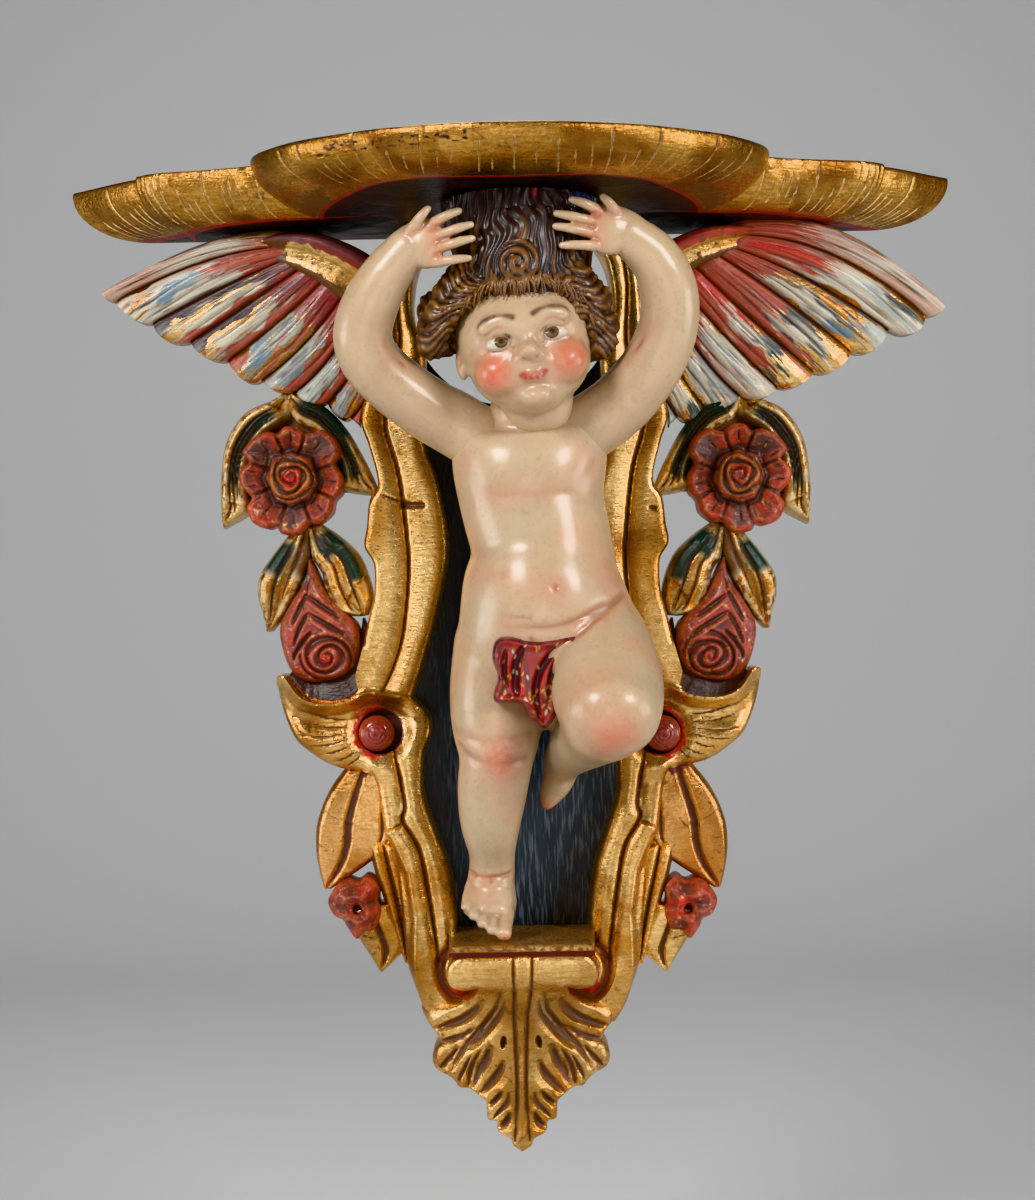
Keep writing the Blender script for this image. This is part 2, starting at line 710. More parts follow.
class Relief:
    """Low relief that stands on a flat back: a grid trimmed to an outline, raised and closed behind."""

    def __init__(self, outline: np.ndarray, spacing: float = 0.8, back: float = 0.0,
                 hole: Optional[np.ndarray] = None, floor: float = 0.0) -> None:
        """Trims a grid to the outline.

        Args:
            outline: Closed outline as (x, z) places.
            spacing: Size of the grid's cells.
            back: Depth of the flat back.
            hole: Closed outline of a hollow sunk in the front.
            floor: Depth of the hollow's floor.
        """
        self.outline = np.asarray(outline, float)[:, :2]
        self.hole, self.floor, self.back = hole, floor, back
        low, high = self.outline.min(axis=0) - spacing, self.outline.max(axis=0) + spacing
        cells = np.ceil((high - low) / spacing).astype(int)
        self.bm = bmesh.new()
        self.layer = self.bm.verts.layers.float_color.new("paint")
        verts, u, v = grid(self.bm, int(cells[0]), int(cells[1]))
        put(verts, low[0] + u * (high[0] - low[0]), np.zeros(len(u)), low[1] + v * (high[1] - low[1]))
        faces = list(self.bm.faces)
        centres = np.array([f.calc_center_median().xz for f in faces])
        kept = enclosed(centres, self.outline)
        if hole is not None:
            kept &= ~enclosed(centres, hole)
        bmesh.ops.delete(self.bm, geom=[f for f, k in zip(faces, kept) if not k], context="FACES")
        self.snap([v for v in self.bm.verts if v.is_boundary])
        self.front = list(self.bm.verts)
        self.places = np.array([v.co.xz for v in self.front])
        self.edge = distance(self.places, self.outline, closed=True)[0]
        self.tint = np.zeros((len(self.front), 4))
        self.depth = np.zeros(len(self.front))

    def snap(self, rim: list) -> None:
        """Moves the ragged border onto the outline.

        Args:
            rim: Vertices of the border.
        """
        borders = [self.outline] + ([self.hole] if self.hole is not None else [])
        starts = np.vstack(borders)
        way = np.vstack([np.roll(b, -1, axis=0) - b for b in borders])
        for vert in rim:
            place = np.array(vert.co.xz)
            t = np.clip(((place - starts) * way).sum(axis=1) / np.maximum((way ** 2).sum(axis=1), 1e-9),
                        0.0, 1.0)
            near = starts + t[:, None] * way
            best = near[((near - place) ** 2).sum(axis=1).argmin()]
            vert.co = (best[0], 0.0, best[1])

    def around(self, centre: Sequence[float]) -> tuple[np.ndarray, ...]:
        """Steps to the right and up from a centre, and distance and angle round it, of each place."""
        dx, dz = (self.places - np.array(centre)).T
        return dx, dz, np.hypot(dx, dz), np.arctan2(dz, dx)

    def raise_to(self, depth: np.ndarray | float) -> "Relief":
        """Sets the depth of the front."""
        self.depth = np.zeros(len(self.front)) + depth
        return self

    def round_edge(self, radius: float, drop: float, line: Optional[np.ndarray] = None) -> "Relief":
        """Rounds the border off towards the wall.

        Args:
            radius: Width of the rounding.
            drop: How far the border lies behind the front.
            line: Part of the border that is rounded, or all of it.

        Returns:
            The relief.
        """
        gap = self.edge if line is None else distance(self.places, line)[0]
        t = 1.0 - np.clip(gap / radius, 0.0, 1.0)
        self.depth -= drop * (1.0 - np.sqrt(np.maximum(1.0 - t * t, 0.0)))
        return self

    def cut(self, cuts: Sequence[Cut]) -> "Relief":
        """Makes gouge cuts and paints them.

        Args:
            cuts: The cuts, in their order.

        Returns:
            The relief.
        """
        for one in cuts:
            share = one.share(self.places)
            self.depth -= one.depth * share
            if one.tint:
                self.paint(one.tint, ease(share, 0.3, 0.8))
        return self

    def paint(self, colour: Colour, cover: np.ndarray | float) -> "Relief":
        """Lays paint over part of the front.

        Args:
            colour: Colour of the paint.
            cover: Share of it at each place.

        Returns:
            The relief.
        """
        share = (np.zeros(len(self.front)) + cover)[:, None]
        seen = self.tint[:, 3:4]
        base = np.where(seen > 0.0, self.tint[:, :3], colour)
        self.tint = np.concatenate([base * (1 - share) + np.array(colour) * share,
                                    seen * (1 - share) + share], axis=1)
        return self

    def close(self, name: str) -> tuple[bpy.types.Mesh, np.ndarray]:
        """Raises the front, gives it side walls and a flat back.

        Args:
            name: Name of the mesh.

        Returns:
            The mesh and its tints.
        """
        put(self.front, self.places[:, 0], np.maximum(self.depth, self.back + LEAST_RISE), self.places[:, 1])
        for vert, tint in zip(self.front, self.tint):
            vert[self.layer] = tint
        rim = rim_of(self.bm)
        inner = []
        if self.hole is not None:
            middle = self.hole.mean(axis=0)
            reach = np.linalg.norm(self.hole - middle, axis=1).max() + 0.1
            inner = [e for e in rim if all(math.hypot(*(np.array(v.co.xz) - middle)) < reach
                                           for v in e.verts)]
        outer = [e for e in rim if e not in inner]
        for edges, levels in ((inner, (self.floor,)), (outer, (self.back + BARE_EDGE, self.back))):
            for level in levels if edges else ():
                walls, edges = draw_out(self.bm, edges)
                for vert in walls:
                    vert.co.y = max(vert.co.y, -level)
                    if level == self.back:
                        vert[self.layer] = rgba(WOOD)
            bmesh.ops.holes_fill(self.bm, edges=edges, sides=0)
        mesh = settle(self.bm, name)
        return mesh, taken(mesh, "paint", "color", 4)

    def dress(self, name: str, finish: Finish, nodes: Sequence[str], rounds: int = 5) -> bpy.types.Object:
        """Closes the relief and makes it a finished piece."""
        mesh, tint = self.close(name)
        return dress(mesh, name, finish, nodes, tint, rounds=rounds)


def tube(bm: bmesh.types.BMesh, stations: Points, sides: int = 20, step: float = 2.0,
         reference: Sequence[float] = FORWARD,
         ends: tuple[float, float] = (0.85, 0.85)) -> None:
    """Adds a closed round limb or lock of hair.

    Args:
        bm: Mesh that gets the limb.
        stations: Rows of (x, depth, z, radius across, radius in depth).
        sides: Number of faces round it.
        step: Length of its faces.
        reference: Direction in which the second radius is measured.
        ends: How far each end is rounded, as a share of its radius.
    """
    rows = spline([[*row[:4], row[4] if len(row) > 4 else row[3]] for row in stations], step)
    centres = rows[:, :3] * (1.0, -1.0, 1.0)
    tangents = np.gradient(centres, axis=0)
    tangents /= np.linalg.norm(tangents, axis=1)[:, None]
    turns = np.linspace(math.pi / 2, 0.0, 5)[:-1]
    rings = [(0, -math.sin(a) * ends[0], math.cos(a)) for a in turns]
    rings += [(i, 0.0, 1.0) for i in range(len(rows))]
    rings += [(len(rows) - 1, math.sin(a) * ends[1], math.cos(a)) for a in turns[::-1]]
    index = np.array([r[0] for r in rings])
    shift, scale = np.array([r[1] for r in rings]), np.array([r[2] for r in rings])
    side = np.cross(tangents, reference)
    side /= np.linalg.norm(side, axis=1)[:, None]
    front = np.cross(side, tangents)
    verts, u, v = grid(bm, sides, len(rings) - 1)
    ring = np.rint(v * (len(rings) - 1)).astype(int)
    row = index[ring]
    angle = u * 2 * math.pi
    swell = scale[ring]
    reach = np.minimum(rows[row, 3], rows[row, 4]) * shift[ring]
    place = (centres[row] + tangents[row] * reach[:, None]
             + side[row] * (np.cos(angle) * rows[row, 3] * swell)[:, None]
             + front[row] * (np.sin(angle) * rows[row, 4] * swell)[:, None])
    for vert, co in zip(verts, place):
        vert.co = co
    bmesh.ops.remove_doubles(bm, verts=verts, dist=0.001)


class Clay:
    """A fine closed skin that is smoothed, pressed and painted point by point."""

    def __init__(self, bm: bmesh.types.BMesh, voxel: float, colour: Colour) -> None:
        """Joins overlapping bodies into one skin.

        Args:
            bm: Closed bodies in millimetres.
            voxel: Size of the skin's faces.
            colour: Its ground colour.
        """
        bmesh.ops.recalc_face_normals(bm, faces=bm.faces)
        rough = bpy.data.meshes.new("rough")
        bm.to_mesh(rough)
        bm.free()
        holder = bpy.data.objects.new("rough", rough)
        bpy.context.scene.collection.objects.link(holder)
        join = holder.modifiers.new("join", "REMESH")
        join.mode, join.voxel_size = "VOXEL", voxel
        graph = bpy.context.evaluated_depsgraph_get()
        self.mesh = bpy.data.meshes.new_from_object(holder.evaluated_get(graph))
        bpy.data.objects.remove(holder)
        bpy.data.meshes.remove(rough)
        self.co, self.normals, self.edges = arrays_of(self.mesh)
        self.tint = np.tile([*colour, 1.0], (len(self.co), 1))

    def refresh(self) -> None:
        """Brings the normals up to date."""
        self.mesh.vertices.foreach_set("co", self.co.astype(np.float32).ravel())
        self.mesh.update()
        self.normals = arrays_of(self.mesh)[1]

    def smooth(self, rounds: int, weight: np.ndarray | float = 1.0) -> "Clay":
        """Smooths the skin.

        Args:
            rounds: How many times.
            weight: Share of the smoothing at each point.

        Returns:
            The skin.
        """
        a, b = self.edges[:, 0], self.edges[:, 1]
        count = len(self.co)
        degree = np.maximum(np.bincount(np.concatenate([a, b]), minlength=count), 1)[:, None]
        share = 0.5 * (np.zeros(count) + weight)[:, None]
        for _ in range(rounds):
            total = np.stack([np.bincount(a, self.co[b, k], count) + np.bincount(b, self.co[a, k], count)
                              for k in range(3)], axis=1)
            self.co += (total / degree - self.co) * share
        self.refresh()
        return self

    def near(self, line: Points, width: float) -> np.ndarray:
        """How near each point is to a line in space, 1 on it and fading over the width.

        Args:
            line: Points as (x, depth, z).
            width: Distance over which the share fades.

        Returns:
            The share of each point.
        """
        path = np.array(line, float) * (1.0, -1.0, 1.0)
        if len(path) == 1:
            gap = np.linalg.norm(self.co - path[0], axis=1)
        else:
            gap = distance(self.co, spline(path, 2.0))[0]
        return np.exp(-(gap / width) ** 2)

    def press(self, line: Points, width: float, depth: float, colour: Optional[Colour] = None,
              strength: float = 0.5) -> "Clay":
        """Presses a crease into the skin, or raises it where the depth is negative.

        Args:
            line: Points as (x, depth, z).
            width: Distance over which the crease fades.
            depth: Its depth.
            colour: Colour that is laid in it.
            strength: Share of the colour.

        Returns:
            The skin.
        """
        share = self.near(line, width)
        self.co -= self.normals * (share * depth)[:, None]
        if colour:
            self.paint(colour, self.near(line, width * 1.8) * strength)
        self.refresh()
        return self

    def paint(self, colour: Colour, share: np.ndarray) -> "Clay":
        """Blends a colour into the skin."""
        stain(self.tint, colour, share)
        return self

    def weather(self) -> "Clay":
        """Lays warm and cool clouds over the paint, as colour laid by hand has them.

        Returns:
            The skin.
        """
        x, y, z = self.co.T
        cloud = np.sin(x * 0.10 + 1.9 * np.sin(z * 0.055 + 0.4)) * np.sin(z * 0.083 + y * 0.12 + 1.0)
        self.paint(WARM_CLOUD, ease(cloud, 0.0, 0.9) * 0.38)
        self.paint(COOL_CLOUD, ease(-cloud, 0.0, 0.9) * 0.34)
        return self

    def dress(self, name: str, finish: Finish, nodes: Sequence[str], rounds: int = 6) -> bpy.types.Object:
        """Makes the skin a finished piece."""
        self.refresh()
        return dress(self.mesh, name, finish, nodes, self.tint, sharp=180.0, rounds=rounds)


# Paints and finishes of the corbel

WOOD: Colour = (0.15, 0.082, 0.042)
PALE: Colour = (0.58, 0.46, 0.25)
BLACK: Colour = (0.006, 0.006, 0.009)
BOLE: Colour = (0.36, 0.014, 0.012)
DULL_RED: Colour = (0.17, 0.022, 0.018)
GROOVE: Colour = (0.17, 0.086, 0.048)
UMBER: Colour = (0.13, 0.06, 0.022)
GREEN: Colour = (0.008, 0.034, 0.025)
ROSE: Colour = (0.38, 0.048, 0.026)
ROSE_GREY: Colour = (0.16, 0.088, 0.078)
BUD: Colour = (0.29, 0.05, 0.042)
CUP: Colour = (0.11, 0.062, 0.055)
SCARLET: Colour = (0.55, 0.025, 0.018)
SKIN: Colour = (0.50, 0.36, 0.225)
BLUSH: Colour = (0.62, 0.15, 0.09)
CREASE: Colour = (0.50, 0.21, 0.13)
WARM_CLOUD: Colour = (0.58, 0.31, 0.18)
COOL_CLOUD: Colour = (0.44, 0.38, 0.25)
SOOT: Colour = (0.035, 0.014, 0.008)
DULL_SCRATCH: Colour = (0.52, 0.34, 0.14)
BRIGHT_SCRATCH: Colour = (0.86, 0.62, 0.31)
CUP_BROWN: Colour = (0.055, 0.026, 0.022)
PETAL_EDGE: Colour = (0.52, 0.085, 0.045)
HEART_GOLD: Colour = (0.5, 0.2, 0.05)
BUD_RED: Colour = (0.44, 0.06, 0.045)
BUD_RUBBED: Colour = (0.46, 0.2, 0.17)
FLOWER_RED: Colour = (0.30, 0.03, 0.02)
FLOWER_DARK: Colour = (0.13, 0.04, 0.03)
FLOWER_LIGHT: Colour = (0.45, 0.09, 0.04)
PENDANT_SHADE: Colour = (0.24, 0.085, 0.035)
RIB_BROWN: Colour = (0.27, 0.115, 0.045)
FEATHER_GAP: Colour = (0.09, 0.025, 0.022)
TOE_GAP: Colour = (0.12, 0.05, 0.034)
TOENAIL: Colour = (0.66, 0.47, 0.33)
FINGERNAIL: Colour = (0.66, 0.50, 0.34)
MOUTH: Colour = (0.14, 0.02, 0.015)
CHEEK: Colour = (0.60, 0.075, 0.028)
BROW: Colour = (0.10, 0.048, 0.03)
LASH: Colour = (0.05, 0.022, 0.016)
LOWER_LID: Colour = (0.30, 0.12, 0.07)
LIP: Colour = (0.42, 0.035, 0.025)
WISP: Colour = (0.15, 0.066, 0.03)
HAIR_BROWN: Colour = (0.105, 0.05, 0.025)
CLOTH_RED: Colour = (0.30, 0.018, 0.015)
CLOTH_LIGHT: Colour = (0.46, 0.028, 0.02)
CLOTH_DARK: Colour = (0.10, 0.02, 0.03)
CLOTH_FOLD: Colour = (0.06, 0.012, 0.02)
CLOTH_HEM: Colour = (0.075, 0.02, 0.035)

# Line on which the hair meets the face, as (x, z)
HAIRLINE: Points = ((-29, 129), (-23, 138), (-12, 145.6), (0, 146.4), (14, 147.6), (24, 146), (30, 142),
                    (36, 131))

GILDING = Finish("aged_gold_leaf", "frame_gilding")
SHELF_GILDING = Finish("shelf_gold_leaf", "shelf_gilding", bright=(0.76, 0.43, 0.125),
                       deep=(0.25, 0.105, 0.026),
                       pits=260.0, wear=0.6, bump=0.45)
ROSE_PAINT = Finish("garland_paint", "frame_gilding", mottle=0.75, depth=0.95, grime=(0.085, 0.045, 0.04),
                    worn=(0.52, 0.11, 0.05), rub=0.65, chips=0.5, coat=0.12, bump=0.5)
WING_PAINT = Finish("feather_paint", "wing_paint", mottle=0.4, grime=(0.08, 0.035, 0.03),
                    worn=(0.66, 0.54, 0.40), rub=0.25, chips=0.35, streaks=1.0, coat=0.2, bump=0.5)
SKIN_PAINT = Finish("skin_paint", "flesh_paint", gilded=False, grime=(0.34, 0.19, 0.105), mottle=0.26,
                    worn=(0.66, 0.50, 0.33), rub=0.3, depth=0.7, bump=0.24, coat=0.5, coat_roughness=0.19)
HAIR_PAINT = Finish("hair_paint", "flesh_paint", gilded=False, grime=(0.022, 0.012, 0.011), mottle=0.45,
                    worn=(0.30, 0.14, 0.045), rub=0.55, depth=0.95, coat=0.45, coat_roughness=0.2)
BLOCK_PAINT = Finish("block_paint", "flesh_paint", gilded=False, grime=(0.022, 0.012, 0.011), mottle=0.3,
                     depth=0.95, coat=0.35, coat_roughness=0.28)
CLOTH_PAINT = Finish("cloth_paint", "frame_gilding", gilded=False, grime=(0.05, 0.012, 0.014), mottle=0.3,
                     worn=(0.5, 0.10, 0.05), rub=0.4, coat=0.5, coat_roughness=0.15, bump=0.2)
LACQUER = Finish("red_lacquer", "berry_lacquer", gilded=False, grime=(0.07, 0.01, 0.008), mottle=0.5,
                 worn=(0.42, 0.08, 0.05), rub=0.5, coat=0.8, coat_roughness=0.12)
LEAF_BRONZE = Finish("leaf_bronze", "frame_gilding", bright=(0.90, 0.52, 0.21), deep=(0.58, 0.25, 0.075),
                     wear=0.7)


# Shelf


@dataclass
class Shelf:
    """Shelf of five lobes that roll in from their rims to a flat black underside."""

    top: float = 214.0
    under: float = 187.5
    rise: float = 0.06
    lip: float = 1.4
    rows: int = 40
    columns: float = 0.7
    top_inset: float = 1.6
    under_inset: float = 0.8
    blots: int = 60
    middle: Points = (
        (118, 0, 93, 0), (121, 60, 93, 52), (125, 78, 90, 70), (123, 95, 86, 82), (115, 111, 79, 97),
        (100, 130, 71, 111), (80, 145, 61, 124), (60, 157, 50, 130), (40, 164, 38, 134),
        (20, 168.5, 20, 134), (0, 169.9, 0, 133))
    side: Points = (
        (60, 0, 60, 0), (60, 60, 60, 52), (118, 70, 106, 49), (135, 66, 124, 46), (150, 61, 138, 40),
        (164, 58, 149, 33), (176, 54, 156, 26), (184, 48, 160, 20), (187, 40, 162, 12), (186, 0, 162, 0))
    end: Points = (
        (150, 0, 150, 0), (150, 40, 146, 34), (180, 41, 155, 27), (190, 36, 162, 20), (200, 27, 168, 13),
        (212, 14.5, 176, 6.5), (225.9, 0, 184, 0))
    middle_strokes: Points = (
        (-124, 0.10, 0.85), (-119, 0.05, 0.30), (-108, 0.08, 0.92), (-99, 0.10, 0.22), (-95, 0.42, 0.72),
        (-90, 0.40, 0.70), (-85, 0.35, 0.82), (-81, 0.30, 0.60), (-72, 0.02, 0.95), (-64, 0.40, 0.74),
        (-57, 0.36, 0.68), (-50, 0.44, 0.66), (-41, 0.10, 0.80), (-33, 0.42, 0.66), (-27, 0.38, 0.60),
        (-14, 0.24, 0.78), (-8, 0.55, 0.76), (2, 0.20, 0.80), (12, 0.40, 0.66), (22, 0.22, 0.86),
        (30, 0.44, 0.64), (38, 0.30, 0.72), (47, 0.10, 0.90), (55, 0.40, 0.66), (61, 0.34, 0.72),
        (69, 0.05, 0.95), (77, 0.38, 0.70), (83, 0.30, 0.74), (89, 0.42, 0.66), (97, 0.04, 0.90),
        (104, 0.40, 0.68), (109, 0.30, 0.72), (114, 0.10, 0.86), (121, 0.10, 0.6))
    side_strokes: Points = (
        (125, 0.10, 0.92), (131, 0.30, 0.60), (135, 0.24, 0.56), (139, 0.20, 0.52), (143, 0.26, 0.60),
        (152, 0.04, 0.95), (158, 0.42, 0.78), (162, 0.34, 0.74), (166, 0.26, 0.68), (174, 0.04, 0.95),
        (178, 0.06, 0.70), (182, 0.05, 0.5))
    end_strokes: Points = (
        (183, 0.08, 0.95), (187, 0.04, 0.30), (190, 0.30, 0.70), (194, 0.34, 0.74), (198, 0.40, 0.80),
        (205, 0.06, 0.95), (209, 0.5, 0.9), (213, 0.46, 0.86), (217, 0.42, 0.8))

    def ring(self, half: Points, side: Side) -> np.ndarray:
        """Draws the closed outline of a lobe.

        Args:
            half: Rows of (rim x, rim depth, inner x, inner depth).
            side: Side that the lobe lies on.

        Returns:
            The rows of the whole outline.
        """
        if side is Side.MIDDLE:
            knots = [*half, *([-a, b, -c, d] for a, b, c, d in half[-2::-1])]
        else:
            knots = [[a * side, b, c * side, d] for a, b, c, d in half]
        line = spline(knots, self.columns)
        shut = np.linspace(line[-1], line[0], max(4, int(abs(line[0, 0] - line[-1, 0]) / 4)))[1:]
        line = np.vstack([line, shut])
        line[:, (1, 3)] = np.maximum(line[:, (1, 3)], 0.0)
        return line

    def lobe(self, name: str, half: Points, side: Side, strokes: Points, lower: float = 0.0) -> None:
        """Carves one lobe.

        Args:
            name: Name of the piece.
            half: Its outline.
            side: Side that it lies on.
            strokes: Engraved lines as (rim x, start down the roll, end down the roll).
            lower: How far its top lies below the shelf's top.
        """
        ring = self.ring(half, side)
        count = len(ring) - 1
        bm = bmesh.new()
        layer = bm.verts.layers.float_color.new("paint")
        verts, u, v = grid(bm, count, self.rows)
        column = np.rint(u * count).astype(int)
        rx, rt, ix, it = ring[column].T
        top = self.top - lower
        step = np.rint(v * self.rows).astype(int)
        t = np.clip((step - 2) / (self.rows - 2), 0.0, 1.0)
        share = 1.0 - np.cos(t * math.pi / 2)
        height = top - self.lip + (self.under + self.rise * it - top + self.lip) * np.sin(t * math.pi / 2)
        height = np.where(step == 0, top, np.where(step == 1, top - 0.4, height))
        share = np.where(step == 0, 0.02, np.where(step == 1, 0.006, share))
        x, depth = rx + (ix - rx) * share, rt + (it - rt) * share
        cut = np.zeros(len(x))
        front = (rt > 1.0) & (np.gradient(ring[:, 0])[column] != 0.0)
        for at, start, end in strokes:
            rim = at if side is Side.MIDDLE else at * side
            knot = np.abs(ring[:, 0] - rim) + np.where(ring[:, 1] < 5.0, 500.0, 0.0)
            along = np.abs(column - knot.argmin()) * self.columns
            ends = ease(t, start - 0.09, start + 0.03) * (1 - ease(t, end - 0.04, end + 0.10))
            cut = np.maximum(cut, np.clip(1.35 - along / 0.66, 0.0, 1.0) * ends * front)
        inward = np.stack([ix - rx, it - rt], axis=1)
        inward /= np.maximum(np.linalg.norm(inward, axis=1), 1e-6)[:, None]
        x, depth = x + inward[:, 0] * cut * 0.7, depth + inward[:, 1] * cut * 0.7
        put(verts, x, np.maximum(depth, lower * 3.0), height)
        tint = coat(DULL_SCRATCH if side is Side.MIDDLE else BRIGHT_SCRATCH, cut)
        lower_edge = ease(t, 0.93, 0.97) if side is Side.MIDDLE else ease(t, 0.84, 0.92)
        tint = np.where((lower_edge > 0.05)[:, None], coat(BOLE, lower_edge), tint)
        if side is Side.MIDDLE:
            rng = np.random.default_rng(2)
            for _ in range(self.blots):
                at, down, reach = rng.uniform(-88, -16), rng.uniform(0.06, 0.26), rng.uniform(0.8, 4.5)
                blot = np.exp(-((x - at) / reach) ** 2 - ((t - down) / 0.03) ** 2) * front
                tint = np.where((blot > 0.25)[:, None], coat(SOOT, blot * 0.75), tint)
            corner = ease(np.abs(x), 80.0, 92.0) * ease(t, 0.55, 0.85) * (1 - lower_edge)
            tint = np.where((corner > 0.3)[:, None], coat(UMBER, corner * 0.9), tint)
        for vert, colour in zip(verts, tint):
            vert[layer] = colour
        bmesh.ops.remove_doubles(bm, verts=bm.verts, dist=0.01)
        rim = sorted(rim_of(bm), key=lambda e: e.verts[0].co.z)
        below = [e for e in rim if e.verts[0].co.z < top - 5.0]
        above = [e for e in rim if e.verts[0].co.z > top - 5.0]
        for edges, colour, inset in ((above, WOOD, self.top_inset), (below, BLACK, self.under_inset)):
            lips, opening = draw_out(bm, edges)
            middle = sum((v.co for v in lips), Vector()) / len(lips)
            middle.z = lips[0].co.z if edges is above else middle.z
            for vert in lips:
                if edges is above or vert.co.y < -2.0:
                    vert.co += (middle - vert.co).normalized() * inset
                vert.co.y = min(vert.co.y, 0.0)
                vert[layer] = rgba(colour)
            bmesh.ops.holes_fill(bm, edges=opening, sides=0)
        mesh = settle(bm, name)
        dress(mesh, name, SHELF_GILDING, ["shelf"], taken(mesh, "paint", "color", 4))

    def build(self) -> None:
        """Carves all five lobes."""
        self.lobe("shelf_middle_lobe", self.middle, Side.MIDDLE, self.middle_strokes)
        for side in BOTH:
            self.lobe(f"shelf_{side.hand}_lobe", self.side, side, self.side_strokes, 0.05)
            self.lobe(f"shelf_{side.hand}_end_lobe", self.end, side, self.end_strokes, 0.1)


# Frame


@dataclass
class Leaf:
    """Carved leaf or strip of the frame.

    Its rows are (edge x, edge z, other edge x, other edge z, depth) from its root to its tip. The
    section lists how far the surface lies behind that depth, by the share of the width. Cuts are
    (share of the width, start, end, width, depth, colour) and patches (colour, from and to a share of
    the width, from and to a share of the length).
    """

    name: str
    rows: Points
    section: Points = ((0, 6), (0.1, 2), (0.22, 0.3), (0.45, 2.6), (0.7, 0.2), (0.9, 1.5), (1, 5))
    cuts: Points = ()
    patches: Sequence[tuple] = ()
    finish: Finish = GILDING
    spacing: float = 0.7

    def carve(self, side: Side, back: float) -> None:
        """Carves the leaf.

        Args:
            side: Side of the frame that it belongs to.
            back: Depth of its flat back.
        """
        rows = turned(self.rows, side, side.fall)
        relief = Relief(edges_of(rows), self.spacing, back=back)
        share, along, fronts = strip_places(relief.places, rows)
        relief.raise_to(fronts - table(self.section, share)).round_edge(2.5, 3.0)
        if any(patch[0] is GREEN for patch in self.patches):
            relief.paint(PALE, 0.40 * ease(relief.edge, 8.0, 2.0) + 0.08)
        for colour, low, high, start, end in self.patches:
            relief.paint(colour, window(share, low, high, 0.05) * window(along, start, end, 0.05, 0.06))
        relief.cut([Cut(lane(rows, s, start, end), width, depth, colour)
                    for s, start, end, width, depth, colour in self.cuts])
        relief.dress(f"{side.hand}_{self.name}", self.finish, ["carved_frame"])


